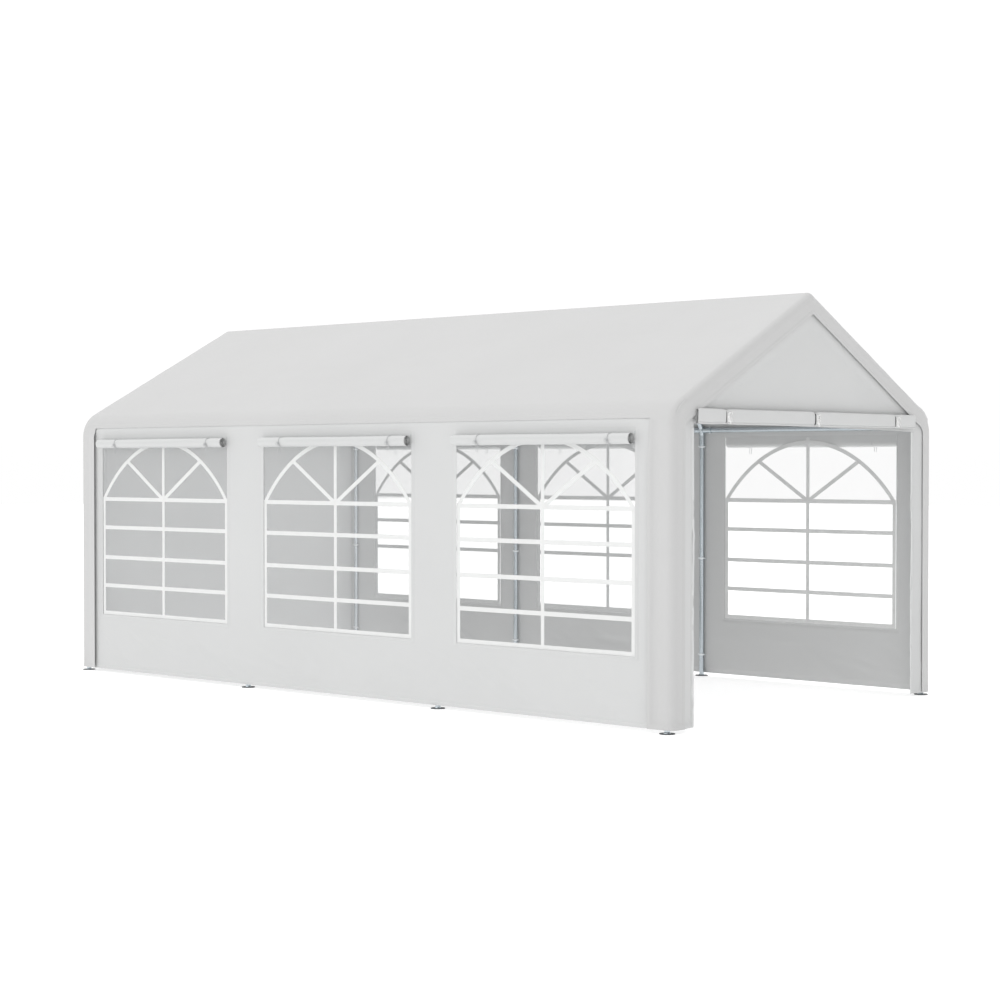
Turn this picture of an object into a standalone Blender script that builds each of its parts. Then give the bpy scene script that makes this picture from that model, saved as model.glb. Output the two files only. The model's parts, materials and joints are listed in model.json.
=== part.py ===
"""Marquee tent, 6 m by 3 m: a steel tube frame with a fitted roof cover and hung walls.

X runs along the tent, and its open end is at +X. Y runs across it, Z is up, in metres.
Four bents (leg, eave fitting, rafter, ridge fitting) stand along X, joined by purlins.
The tent is built about its own middle, and the empty at the end moves it so that the
middle of the whole box, door roll included, stands over the origin.
"""

from math import cos, pi, radians, sin, sqrt, tan

import bmesh
import bpy
import numpy as np
from mathutils import Vector

# Driving dimensions
GAP = 0.0003  # between pieces that touch
SIDES = (("front", -1), ("back", 1))
BENT_XS = (-2.945, -0.982, 0.982, 2.945)
LEG_Y = 1.479
SLOPE = radians(27.9)
RIDGE_TOP_Z = 2.792
COVER_END_X = 3.009

# Steel tubes
TUBE_R = 0.018
SLEEVE_R = 0.021
TUBE_SIDES = 12
SOCKET_DEPTH = 0.060
FOOT_R = 0.050
FOOT_T = 0.005
FOOT_WELD = 0.001
ELBOW_R = 0.180
ELBOW_STEPS = 6
SLEEVE_FOOT_Z = 1.790
RAFTER_SLEEVE = 0.090
PURLIN_SLEEVE = 0.100
EAVE_PURLIN_Z = 1.920
RIDGE_BEND_R = 0.050
RIDGE_BEND_STEPS = 4
RIDGE_SLEEVE = 0.120

# Fabric
WALL_T = 0.003
COVER_T = 0.004
COVER_GAP = 0.0007
FILM_T = 0.0015
HEM_Z = 0.025
WALL_END_X = 2.930
WALL_TOP_ANGLE = radians(35)
WALL_TOP_STEPS = 8
EAVE_HEM_Z = 1.947
RIDGE_ROUND = 0.040
RIDGE_ROUND_LEAST = 0.012
EDGE_ROUND = 0.050
EDGE_STEPS = 6
EAVE_STEPS = 10
RIDGE_STEPS = 3
LEG_COVER_X = 2.820
RIDGE_BAND = 0.130
EAVE_BAND = 0.139
LEG_BAND = 0.122
SMOOTH_ANGLE = radians(35)

# Windows
WINDOW_XS = (-1.957, -0.012, 1.945)
WINDOW_W = 1.530
WINDOW_BOTTOM_Z = 0.460
WINDOW_TOP_Z = 1.860
FILM_LAP = 0.010
ROLL_R = 0.036
ROLL_LENGTH = 1.525
ROLL_Z = 1.8165
ROLL_SEAM_Z = 1.885
ROLL_FLAP_T = 0.003
ROLL_STEPS = 18

# Ends
PANEL_OUT_X = 2.987
PANEL_EDGE_GAP = 0.0009
PANEL_HALF_Y = 1.388
DOOR_HALF_Y = 1.268
DOOR_TOP_Z = 1.885
DOOR_ROLL_FRONT_X = 3.035
DOOR_ROLL_Z = (1.904, 2.003)
DOOR_ROLL_Y = (-1.284, 1.250)
DOOR_ROLL_CORNER = 0.011
DOOR_FLAP_T = 0.003
CORNER_STEPS = 4

# Worked out from the sizes above
ELBOW_Y = LEG_Y - ELBOW_R
WALL_IN_R = ELBOW_R + SLEEVE_R + GAP
COVER_OUT_R = WALL_IN_R + WALL_T + COVER_GAP + COVER_T
COVER_Y = ELBOW_Y + COVER_OUT_R
WALL_OUT_Y = ELBOW_Y + WALL_IN_R + WALL_T
RIDGE_POINT_Z = RIDGE_TOP_Z + RIDGE_ROUND * (1 / cos(SLOPE) - 1)
ELBOW_Z = RIDGE_POINT_Z - COVER_OUT_R / cos(SLOPE) - ELBOW_Y * tan(SLOPE)
RAFTER_POINT_Z = ELBOW_Z + ELBOW_R / cos(SLOPE) + ELBOW_Y * tan(SLOPE)
EAVE_PURLIN_Y = ELBOW_Y + sqrt(ELBOW_R**2 - (EAVE_PURLIN_Z - ELBOW_Z) ** 2)
RIDGE_BEND_Z = RAFTER_POINT_Z - RIDGE_BEND_R / cos(SLOPE)
RIDGE_PURLIN_Z = RIDGE_BEND_Z + RIDGE_BEND_R
PANEL_IN_X = PANEL_OUT_X - WALL_T
PANEL_TURN_X = PANEL_OUT_X - (COVER_END_X - EDGE_ROUND)
PANEL_EDGE_INSET = EDGE_ROUND - sqrt((EDGE_ROUND - COVER_T) ** 2 - PANEL_TURN_X**2) + PANEL_EDGE_GAP
TENT_X = (COVER_END_X - DOOR_ROLL_FRONT_X) / 2
RAFTER_DIRECTION = Vector((0, -cos(SLOPE), sin(SLOPE)))


def clear_scene():
    for item in list(bpy.data.objects):
        bpy.data.objects.remove(item, do_unlink=True)


def make_material(name, colour, roughness, metallic=0.0, alpha=1.0):
    material = bpy.data.materials.new(name)
    material.use_nodes = True
    shader = material.node_tree.nodes["Principled BSDF"]
    shader.inputs["Base Color"].default_value = (*colour, 1.0)
    shader.inputs["Roughness"].default_value = roughness
    shader.inputs["Metallic"].default_value = metallic
    shader.inputs["Alpha"].default_value = alpha
    return material


def add_object(name, mesh, material, smooth=False):
    """An object for the mesh, in the scene and carried by the tent's empty."""
    item = bpy.data.objects.new(name, mesh)
    bpy.context.scene.collection.objects.link(item)
    item.parent = tent
    mesh.materials.clear()
    mesh.materials.append(material)
    if smooth:
        mesh.shade_smooth()
        mesh.set_sharp_from_angle(angle=SMOOTH_ANGLE)
    return item


def mesh_from(name, points, faces):
    """A mesh from points and faces, with its faces turned outwards."""
    shape = bmesh.new()
    corners = [shape.verts.new(point) for point in points]
    for face in faces:
        shape.faces.new([corners[index] for index in face])
    bmesh.ops.recalc_face_normals(shape, faces=shape.faces)
    mesh = bpy.data.meshes.new(name)
    shape.to_mesh(mesh)
    shape.free()
    return mesh


def ring_faces(rings, sides):
    """Quads between rings of the same number of points, and a cap on each end."""
    faces = [tuple(range(sides)), tuple(range((rings - 1) * sides, rings * sides))]
    for ring in range(rings - 1):
        for side in range(sides):
            after = (side + 1) % sides
            low, high = ring * sides, (ring + 1) * sides
            faces.append((low + side, low + after, high + after, high + side))
    return faces


def swept_tube(name, path, across, radii):
    """A round bar along a flat path. Across is the path's normal, and radii one a point."""
    path = [Vector(point) for point in path]
    across = Vector(across).normalized()
    steps = [(after - before).normalized() for before, after in zip(path, path[1:])]
    points = []
    for index, centre in enumerate(path):
        before = steps[max(index - 1, 0)]
        after = steps[min(index, len(steps) - 1)]
        along = (before + after).normalized()
        widen = 1 / along.dot(after)
        outward = along.cross(across) * widen
        for side in range(TUBE_SIDES):
            angle = 2 * pi * side / TUBE_SIDES
            points.append(centre + radii[index] * (cos(angle) * across + sin(angle) * outward))
    return mesh_from(name, points, ring_faces(len(path), TUBE_SIDES))


def straight_tube(name, start, end, across, radius=TUBE_R):
    return swept_tube(name, (start, end), across, (radius, radius))


def join_meshes(name, meshes):
    """Meshes that do not touch, as one mesh, for use as a single cutter."""
    shape = bmesh.new()
    for mesh in meshes:
        shape.from_mesh(mesh)
    joined = bpy.data.meshes.new(name)
    shape.to_mesh(joined)
    shape.free()
    return joined


def combine(item, tool_mesh, operation):
    """Adds the tool's shape to the object or cuts it away, and keeps only the result."""
    tool = bpy.data.objects.new("tool", tool_mesh)
    bpy.context.scene.collection.objects.link(tool)
    tool.parent = tent
    change = item.modifiers.new("combine", "BOOLEAN")
    change.solver = "EXACT"
    change.operation = operation
    change.object = tool
    made = item.evaluated_get(bpy.context.evaluated_depsgraph_get())
    mesh = bpy.data.meshes.new_from_object(made)
    item.modifiers.clear()
    item.data = mesh
    bpy.data.objects.remove(tool, do_unlink=True)


def arc(centre, radius, start, end, steps):
    """Points (across, up) on an arc between two angles, both ends included."""
    angles = np.linspace(start, end, steps + 1)
    return [(centre[0] + radius * cos(a), centre[1] + radius * sin(a)) for a in angles]


def prism(name, outline, axis, low, high):
    """An outline of (across, up) points, pushed along X or Y from low to high."""
    if axis == "X":
        points = [(place, a, z) for place in (low, high) for a, z in outline]
    else:
        points = [(a, place, z) for place in (low, high) for a, z in outline]
    return mesh_from(name, points, ring_faces(2, len(outline)))


def leg(name, x, y):
    """A straight leg tube that stands on a round foot plate welded to its end."""
    top_z = SLEEVE_FOOT_Z + SOCKET_DEPTH - GAP
    path = [(x, y, 0), (x, y, FOOT_T), (x, y, FOOT_T + FOOT_WELD), (x, y, top_z)]
    radii = (FOOT_R, FOOT_R, TUBE_R, TUBE_R)
    add_object(name, swept_tube(name, path, (1, 0, 0), radii), steel, smooth=True)


def socket(mouth, inward, across):
    """The cutter of one socket: a blind bore from the sleeve's mouth inwards."""
    mouth, inward = Vector(mouth), Vector(inward)
    start = mouth - inward * SOCKET_DEPTH
    end = mouth + inward * SOCKET_DEPTH
    return straight_tube("bore", start, end, across, TUBE_R + GAP)


def purlin_sleeve_mesh(x, y, z, ways):
    """The sleeve of a fitting that runs along X, towards each of the ways it goes."""
    start = x + PURLIN_SLEEVE * min(ways + (0,))
    end = x + PURLIN_SLEEVE * max(ways + (0,))
    return straight_tube("sleeve", (start, y, z), (end, y, z), (0, 1, 0), SLEEVE_R)


def fitting(name, x, path, mouths, sleeve_place, ways):
    """A bent sleeve across the tent, fused to one along it, with a socket at each mouth."""
    radii = [SLEEVE_R] * len(path)
    item = add_object(name, swept_tube(name, path, (1, 0, 0), radii), steel)
    y, z = sleeve_place
    combine(item, purlin_sleeve_mesh(x, y, z, ways), "UNION")
    bores = [socket(mouth, inward, (1, 0, 0)) for mouth, inward in mouths]
    for way in ways:
        mouth = (x + way * PURLIN_SLEEVE, y, z)
        bores.append(socket(mouth, (-way, 0, 0), (0, 1, 0)))
    combine(item, join_meshes("bores", bores), "DIFFERENCE")
    item.data.name = name


def purlin_ways(index):
    """The directions along X in which a bent has a neighbour."""
    return tuple(way for way in (-1, 1) if 0 <= index + way < len(BENT_XS))


def eave_fitting(name, index, side):
    """The elbow on top of a leg: leg socket below, rafter socket above, purlins beside."""
    x = BENT_XS[index]
    bend = arc((ELBOW_Y, ELBOW_Z), ELBOW_R, 0, pi / 2 - SLOPE, ELBOW_STEPS)
    end = Vector((0, bend[-1][0], bend[-1][1])) + RAFTER_DIRECTION * RAFTER_SLEEVE
    flat = [(LEG_Y, SLEEVE_FOOT_Z)] + bend + [(end.y, end.z)]
    path = [(x, side * y, z) for y, z in flat]
    down_rafter = Vector((0, -side * RAFTER_DIRECTION.y, -RAFTER_DIRECTION.z))
    mouths = ((path[0], (0, 0, 1)), (path[-1], down_rafter))
    place = (side * EAVE_PURLIN_Y, EAVE_PURLIN_Z)
    fitting(name, x, path, mouths, place, purlin_ways(index))


def ridge_fitting(name, index):
    """The bent sleeve under the ridge, with a rafter socket each way and the purlins'."""
    x = BENT_XS[index]
    start, end = pi / 2 - SLOPE, pi / 2 + SLOPE
    bend = arc((0, RIDGE_BEND_Z), RIDGE_BEND_R, start, end, RIDGE_BEND_STEPS)
    ends = [(side * RIDGE_SLEEVE * cos(SLOPE), RAFTER_POINT_Z - RIDGE_SLEEVE * sin(SLOPE))
            for side in (1, -1)]
    path = [(x, y, z) for y, z in [ends[0]] + bend + [ends[1]]]
    up = [Vector((0, -side * cos(SLOPE), sin(SLOPE))) for side in (1, -1)]
    mouths = ((path[0], up[0]), (path[-1], up[1]))
    fitting(name, x, path, mouths, (0, RIDGE_PURLIN_Z), purlin_ways(index))


def rafter(name, x, side):
    """A straight tube from the eave fitting's upper socket to the ridge fitting's."""
    low_y = ELBOW_Y + ELBOW_R * sin(SLOPE)
    low_z = ELBOW_Z + ELBOW_R * cos(SLOPE)
    start = Vector((x, low_y, low_z)) + RAFTER_DIRECTION * (RAFTER_SLEEVE - SOCKET_DEPTH + GAP)
    reach = RIDGE_SLEEVE - SOCKET_DEPTH + GAP
    end = Vector((x, reach * cos(SLOPE), RAFTER_POINT_Z - reach * sin(SLOPE)))
    start.y *= side
    end.y *= side
    add_object(name, straight_tube(name, start, end, (1, 0, 0)), steel, smooth=True)


def purlin(name, bay, y, z):
    """A straight tube along X between the sockets of two neighbouring fittings."""
    inset = PURLIN_SLEEVE - SOCKET_DEPTH + GAP
    start = (BENT_XS[bay] + inset, y, z)
    end = (BENT_XS[bay + 1] - inset, y, z)
    add_object(name, straight_tube(name, start, end, (0, 1, 0)), steel, smooth=True)


def build_frame():
    for index, x in enumerate(BENT_XS):
        ridge_fitting(f"ridge_fitting_{index + 1}", index)
        for word, side in SIDES:
            leg(f"leg_{word}_{index + 1}", x, side * LEG_Y)
            eave_fitting(f"eave_fitting_{word}_{index + 1}", index, side)
            rafter(f"rafter_{word}_{index + 1}", x, side)
    for bay in range(len(BENT_XS) - 1):
        purlin(f"ridge_purlin_{bay + 1}", bay, 0, RIDGE_PURLIN_Z)
        for word, side in SIDES:
            place = (side * EAVE_PURLIN_Y, EAVE_PURLIN_Z)
            purlin(f"eave_purlin_{word}_{bay + 1}", bay, *place)


def cover_rows():
    """The half outline of the cover from its foot to the ridge, as functions of the inset.

    Each row is a pair: how deep the band reaches there, and the (y, z) point for an inset.
    """
    rows = []
    for z in (HEM_Z, ELBOW_Z):
        rows.append((LEG_BAND, lambda inset, z=z: (COVER_Y - inset, z)))
    hem_angle = np.arcsin((EAVE_HEM_Z - ELBOW_Z) / COVER_OUT_R)
    turn = pi / 2 - SLOPE
    angles = sorted([hem_angle, *np.linspace(0, turn, EAVE_STEPS + 1)[1:]])
    for angle in angles:
        depth = LEG_BAND + (EAVE_BAND - LEG_BAND) * angle / turn

        def on_bend(inset, angle=angle):
            radius = COVER_OUT_R - inset
            return ELBOW_Y + radius * cos(angle), ELBOW_Z + radius * sin(angle)

        rows.append((depth, on_bend))
    for angle in np.linspace(SLOPE, 0, RIDGE_STEPS + 1):

        def on_ridge(inset, angle=angle):
            radius = max(RIDGE_ROUND - inset, RIDGE_ROUND_LEAST)
            centre_z = RIDGE_POINT_Z - (inset + radius) / cos(SLOPE)
            return radius * sin(angle), centre_z + radius * cos(angle)

        rows.append((RIDGE_BAND, on_ridge))
    return rows


def cover_columns():
    """The stations along X on one half: (x, inset, share of the flat band beyond it)."""
    columns = [(LEG_COVER_X, 0.0, 0.0)]
    for angle in np.linspace(0, pi / 2, EDGE_STEPS + 1):
        x = COVER_END_X - EDGE_ROUND * (1 - sin(angle))
        columns.append((x, EDGE_ROUND * (1 - cos(angle)), 0.0))
    columns.append((COVER_END_X, EDGE_ROUND, 1.0))
    return columns


def roof_cover():
    """One fitted shell: roof, rounded gable edges with a flat band, and four leg covers."""
    half_rows = cover_rows()
    rows = [(1, depth, place) for depth, place in half_rows]
    rows += [(-1, depth, place) for depth, place in reversed(half_rows[:-1])]
    half = cover_columns()
    columns = [(-1, *column) for column in reversed(half)] + [(1, *column) for column in half]
    points = []
    for side, depth, place in rows:
        for way, x, inset, share in columns:
            y, z = place(inset + share * (depth - EDGE_ROUND))
            points.append((way * x, side * y, z))
    hem_row = sum(1 for depth, place in half_rows if place(0)[1] < EAVE_HEM_Z - GAP)
    middle = len(half) - 1
    faces = []
    for row in range(len(rows) - 1):
        below_hem = row < hem_row or row >= len(rows) - 1 - hem_row
        for column in range(len(columns) - 1):
            if below_hem and column == middle:
                continue
            low, high = row * len(columns) + column, (row + 1) * len(columns) + column
            faces.append((low, low + 1, high + 1, high))
    item = add_object("roof_cover", mesh_from("roof_cover", points, faces), cover_fabric, True)
    if item.data.polygons[0].normal.y < 0:
        item.data.flip_normals()
    thicken(item, COVER_T)


def thicken(item, thickness):
    """Gives a sheet its thickness on the side that its faces turn away from."""
    wall = item.modifiers.new("thickness", "SOLIDIFY")
    wall.thickness = thickness
    wall.offset = -1
    wall.use_even_offset = True


def window_xs(side):
    """The windows' centres along X. The back wall is the front one, turned round."""
    return WINDOW_XS if side < 0 else tuple(-x for x in reversed(WINDOW_XS))


def side_wall(name, side):
    """A long wall with three windows cut through it, bent in under the cover at the top."""
    out_r = WALL_IN_R + WALL_T
    bend = arc((ELBOW_Y, ELBOW_Z), out_r, 0, WALL_TOP_ANGLE, WALL_TOP_STEPS)
    rows = [(WALL_OUT_Y, z) for z in (HEM_Z, WINDOW_BOTTOM_Z, WINDOW_TOP_Z)] + bend
    xs = [-WALL_END_X]
    for x in window_xs(side):
        xs += [x - WINDOW_W / 2, x + WINDOW_W / 2]
    xs.append(WALL_END_X)
    points = [(x, side * y, z) for y, z in rows for x in xs]
    faces = []
    for row in range(len(rows) - 1):
        for column in range(len(xs) - 1):
            if row == 1 and column % 2 == 1:
                continue
            low, high = row * len(xs) + column, (row + 1) * len(xs) + column
            faces.append((low, low + 1, high + 1, high))
    item = add_object(name, mesh_from(name, points, faces), wall_fabric)
    if item.data.polygons[0].normal.y * side < 0:
        item.data.flip_normals()
    thicken(item, WALL_T)


def window_film(name, x, side):
    """A clear pane sewn to the inner side of the wall, lapping the opening's edges."""
    half = WINDOW_W / 2 + FILM_LAP
    low_z, high_z = WINDOW_BOTTOM_Z - FILM_LAP, WINDOW_TOP_Z + FILM_LAP
    outline = [(x - half, low_z), (x + half, low_z), (x + half, high_z), (x - half, high_z)]
    outer = WALL_OUT_Y - WALL_T - GAP
    mesh = prism(name, outline, "Y", side * outer, side * (outer - FILM_T))
    add_object(name, mesh, clear_film)


def window_roll(name, x, side):
    """The window's flap, rolled up and tied, with the strip it is sewn to the wall by."""
    wall_y = WALL_OUT_Y + GAP
    centre_y = wall_y + ROLL_R
    start = np.arccos((ROLL_R - ROLL_FLAP_T) / ROLL_R)
    turn = arc((0, ROLL_Z), ROLL_R, start, 2 * pi, ROLL_STEPS)
    outline = [(side * (centre_y - across), z) for across, z in turn]
    outline.append((side * wall_y, ROLL_SEAM_Z))
    outline.append((side * (wall_y + ROLL_FLAP_T), ROLL_SEAM_Z))
    mesh = prism(name, outline, "X", x - ROLL_LENGTH / 2, x + ROLL_LENGTH / 2)
    add_object(name, mesh, wall_fabric, smooth=True)


def panel_top():
    """The upper outline of an end panel, from +Y to -Y, just inside the cover's round."""
    point_z = RIDGE_POINT_Z - PANEL_EDGE_INSET / cos(SLOPE)
    ridge_y = RIDGE_ROUND * sin(SLOPE)
    half = [(y, point_z - y * tan(SLOPE)) for y in (PANEL_HALF_Y, ridge_y)]
    return half + [(-y, z) for y, z in reversed(half)]


def end_wall(name, way):
    """An end panel: the gable, the header over the doorway and a margin down each side."""
    outline = [(PANEL_HALF_Y, HEM_Z)] + panel_top() + [
        (-PANEL_HALF_Y, HEM_Z),
        (-DOOR_HALF_Y, HEM_Z),
        (-DOOR_HALF_Y, DOOR_TOP_Z),
        (DOOR_HALF_Y, DOOR_TOP_Z),
        (DOOR_HALF_Y, HEM_Z),
    ]
    mesh = prism(name, outline, "X", way * PANEL_IN_X, way * PANEL_OUT_X)
    add_object(name, mesh, wall_fabric)


def rear_door():
    """The closed door of the rear end, zipped into its doorway."""
    half, high_z = DOOR_HALF_Y - GAP, DOOR_TOP_Z - GAP
    outline = [(half, HEM_Z), (half, high_z), (-half, high_z), (-half, HEM_Z)]
    mesh = prism("rear_door", outline, "X", -PANEL_IN_X, -PANEL_OUT_X)
    add_object("rear_door", mesh, wall_fabric)


def door_roll():
    """The open end's door, rolled flat before the cover's band, on the flap it hangs by."""
    back, front = COVER_END_X + GAP, DOOR_ROLL_FRONT_X
    seam = PANEL_OUT_X + GAP
    low_z, high_z = DOOR_ROLL_Z
    r = DOOR_ROLL_CORNER
    outline = arc((front - r, low_z + r), r, -pi / 2, 0, CORNER_STEPS)
    outline += arc((front - r, high_z - r), r, 0, pi / 2, CORNER_STEPS)
    outline += arc((back + r, high_z - r), r, pi / 2, pi, CORNER_STEPS)
    outline += [(back, low_z + DOOR_FLAP_T), (seam, low_z + DOOR_FLAP_T), (seam, low_z)]
    # The outline is pushed along Y, so its first coordinate is X here.
    mesh = prism("door_roll", outline, "Y", *DOOR_ROLL_Y)
    add_object("door_roll", mesh, wall_fabric, smooth=True)


def build_fabric():
    roof_cover()
    for word, side in SIDES:
        side_wall(f"side_wall_{word}", side)
        for index, x in enumerate(window_xs(side)):
            window_film(f"window_film_{word}_{index + 1}", x, side)
            window_roll(f"window_roll_{word}_{index + 1}", x, side)
    end_wall("end_wall_open", 1)
    end_wall("end_wall_rear", -1)
    rear_door()
    door_roll()


clear_scene()
tent = bpy.data.objects.new("tent", None)
bpy.context.scene.collection.objects.link(tent)
tent.location.x = TENT_X
steel = make_material("galvanised_steel", (0.42, 0.47, 0.52), 0.38, metallic=0.9)
cover_fabric = make_material("cover_fabric", (0.74, 0.74, 0.73), 0.62)
wall_fabric = make_material("wall_fabric", (0.72, 0.73, 0.73), 0.60)
clear_film = make_material("clear_film", (0.90, 0.92, 0.93), 0.08, alpha=0.25)
bpy.context.view_layer.update()
build_frame()
build_fabric()
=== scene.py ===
# %% [markdown]
# # A marquee tent, 6 m by 3 m
# The tent is a frame of steel tube with a fitted roof cover, two window walls, a closed rear
# end and an open end with its door rolled up. Its solids already exist, at their real size.
# This lesson dresses them: each cloth, pane, roll, tie and tube becomes a surface worked out
# with numpy, in metres, in the same place as its solid. X runs along the ridge to the open
# end, Y across the tent, and Z up from the ground.

# %% Load the frame
import json
from math import cos, pi, radians, sin, sqrt, tan

import bpy
import numpy as np
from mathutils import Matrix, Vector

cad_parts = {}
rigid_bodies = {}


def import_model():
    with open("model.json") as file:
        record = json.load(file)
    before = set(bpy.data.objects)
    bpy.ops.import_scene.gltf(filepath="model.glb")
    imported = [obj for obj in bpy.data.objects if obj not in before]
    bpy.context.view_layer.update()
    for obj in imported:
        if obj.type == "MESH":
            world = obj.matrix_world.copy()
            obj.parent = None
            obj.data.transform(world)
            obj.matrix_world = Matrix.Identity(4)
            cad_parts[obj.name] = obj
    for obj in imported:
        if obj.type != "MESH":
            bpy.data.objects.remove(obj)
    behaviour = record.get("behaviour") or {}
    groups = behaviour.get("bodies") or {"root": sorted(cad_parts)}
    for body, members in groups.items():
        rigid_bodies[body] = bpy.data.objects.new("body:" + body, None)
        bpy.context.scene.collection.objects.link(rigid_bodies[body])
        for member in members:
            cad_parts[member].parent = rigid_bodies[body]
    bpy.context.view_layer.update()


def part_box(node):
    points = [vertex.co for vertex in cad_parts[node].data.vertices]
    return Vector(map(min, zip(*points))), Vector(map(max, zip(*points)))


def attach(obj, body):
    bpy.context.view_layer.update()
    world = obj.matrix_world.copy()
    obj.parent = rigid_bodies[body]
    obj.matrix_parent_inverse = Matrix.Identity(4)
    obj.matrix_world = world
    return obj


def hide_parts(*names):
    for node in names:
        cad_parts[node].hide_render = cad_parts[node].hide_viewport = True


for item in list(bpy.data.objects):
    bpy.data.objects.remove(item, do_unlink=True)
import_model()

# %% [markdown]
# ## The camera
# The tent was seen past its near corner, from about 16 m off its middle, with a lens longer
# than normal, so its far end looks little smaller than its near one. A camera could be placed by eye,
# but this place and lens were worked out from the tent's corners.

# %% Camera
CAMERA_PLACE = (10.703, -11.462, 1.658)
CAMERA_TURN = radians(42.548)
CAMERA_DOWN = radians(1.005)
LENS_MM = 74.16
SENSOR_MM = 36

camera_data = bpy.data.cameras.new("camera")
camera_data.lens = LENS_MM
camera_data.sensor_width = SENSOR_MM
camera = bpy.data.objects.new("camera", camera_data)
camera.location = CAMERA_PLACE
camera.rotation_euler = (pi / 2 - CAMERA_DOWN, 0, CAMERA_TURN)
bpy.context.scene.collection.objects.link(camera)
bpy.context.scene.camera = camera
bpy.context.scene.view_settings.view_transform = "Standard"
print("camera at", CAMERA_PLACE, "lens", LENS_MM)

# %% [markdown]
# ## Node helpers
# A procedural material is a small graph of nodes. Two short functions keep each graph
# readable: one adds a node and fills in its values, and one wires an output to an input.

# %% Node helpers


def add_node(tree, kind, values=(), **settings):
    """A node of a tree, with its settings and with values for its named or numbered inputs."""
    made = tree.nodes.new(kind)
    for key, value in settings.items():
        setattr(made, key, value)
    for key, value in dict(values).items():
        made.inputs[key].default_value = value
    return made


def wire(tree, source, target):
    """Joins an output to an input, each given as (node, name or number)."""
    tree.links.new(source[0].outputs[source[1]], target[0].inputs[target[1]])


# %% [markdown]
# ## Light and floor
# The tent stands in an even white studio: soft light from all round, half as much again from
# above and half as much from the open end's side, which is why the gable looks greyer than
# the long wall. Lamps could do this, but a sky whose brightness depends only on direction
# gives no hard shadow and no visible lamp. The floor is plain and pale, and glows a little so
# that it stays white beside the tent.

# %% World
SKY_OVERHEAD = 1.56
SKY_AT_OPEN_END = 0.50

world = bpy.data.worlds.new("studio")
bpy.context.scene.world = world
world.use_nodes = True
sky = world.node_tree
direction = add_node(sky, "ShaderNodeTexCoord")
axes = add_node(sky, "ShaderNodeSeparateXYZ")
overhead = add_node(sky, "ShaderNodeMapRange", {"To Min": 1.0, "To Max": SKY_OVERHEAD})
towards_x = add_node(sky, "ShaderNodeMapRange", {"To Min": 1.0, "To Max": SKY_AT_OPEN_END})
level = add_node(sky, "ShaderNodeMath", operation="MULTIPLY")
wire(sky, (direction, "Generated"), (axes, 0))
wire(sky, (axes, "Z"), (overhead, "Value"))
wire(sky, (axes, "X"), (towards_x, "Value"))
wire(sky, (overhead, 0), (level, 0))
wire(sky, (towards_x, 0), (level, 1))
wire(sky, (level, 0), (sky.nodes["Background"], "Strength"))
sky.nodes["Background"].inputs["Color"].default_value = (1, 1, 1, 1)
print("sky brightness overhead and towards the open end:", SKY_OVERHEAD, SKY_AT_OPEN_END)

# %% Floor
FLOOR_HALF = 60.0
FLOOR_FINISH = {"Base Color": (0.60, 0.60, 0.60, 1), "Roughness": 0.9,
                "Specular IOR Level": 0.0, "Emission Color": (1, 1, 1, 1),
                "Emission Strength": 0.64}

corners = [(FLOOR_HALF * i, FLOOR_HALF * j, 0) for i, j in ((-1, -1), (1, -1), (1, 1), (-1, 1))]
floor_mesh = bpy.data.meshes.new("floor")
floor_mesh.from_pydata(corners, [], [(0, 1, 2, 3)])
floor = bpy.data.objects.new("floor", floor_mesh)
bpy.context.scene.collection.objects.link(floor)
floor_paint = bpy.data.materials.new("studio_floor")
floor_paint.use_nodes = True
floor_shader = floor_paint.node_tree.nodes["Principled BSDF"]
for socket, value in FLOOR_FINISH.items():
    floor_shader.inputs[socket].default_value = value
floor_mesh.materials.append(floor_paint)
print("floor:", 2 * FLOOR_HALF, "m square")

# %% [markdown]
# ## Materials
# The cloth is woven polyethylene with a thin coating: a fine square weave, a soft sheen and
# almost no colour of its own. The weave is two sets of waves on the UV map, which is laid
# out in metres of cloth, so that it follows every fold. Broad noise on Object coordinates
# adds the faint unevenness of a sheet that was folded in its bag.

# %% Cloth material
WEAVE_PITCH = 0.0026
WAVE_PER_METRE = 0.31416  # a wave texture of scale 1 repeats about every 0.314 m
CLOTH_BLOTCH = (0.012, 1.3)  # the share by which the colour drifts, and the blotches' scale
DENT_SCALE = 5.0


def new_material(name, colour, roughness, metallic=0.0):
    """A material with its shader's plain values set, and its tree and shader for more nodes."""
    material = bpy.data.materials.new(name)
    material.use_nodes = True
    tree = material.node_tree
    shader = tree.nodes["Principled BSDF"]
    shader.inputs["Base Color"].default_value = (*colour, 1)
    shader.inputs["Roughness"].default_value = roughness
    shader.inputs["Metallic"].default_value = metallic
    return material, tree, shader


def vary_colour(tree, shader, colour, share, scale, coordinates):
    """Lets the colour drift by a share of itself, in blotches of 1 / scale metres."""
    noise = add_node(tree, "ShaderNodeTexNoise", {"Scale": scale, "Detail": 3.0})
    ramp = add_node(tree, "ShaderNodeMapRange", {"From Min": 0.3, "From Max": 0.7,
                                                 "To Min": 1 - share, "To Max": 1 + share})
    tint = add_node(tree, "ShaderNodeVectorMath", {0: colour}, operation="SCALE")
    wire(tree, coordinates, (noise, "Vector"))
    wire(tree, (noise, "Fac"), (ramp, "Value"))
    wire(tree, (ramp, 0), (tint, "Scale"))
    wire(tree, (tint, 0), (shader, "Base Color"))


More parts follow.
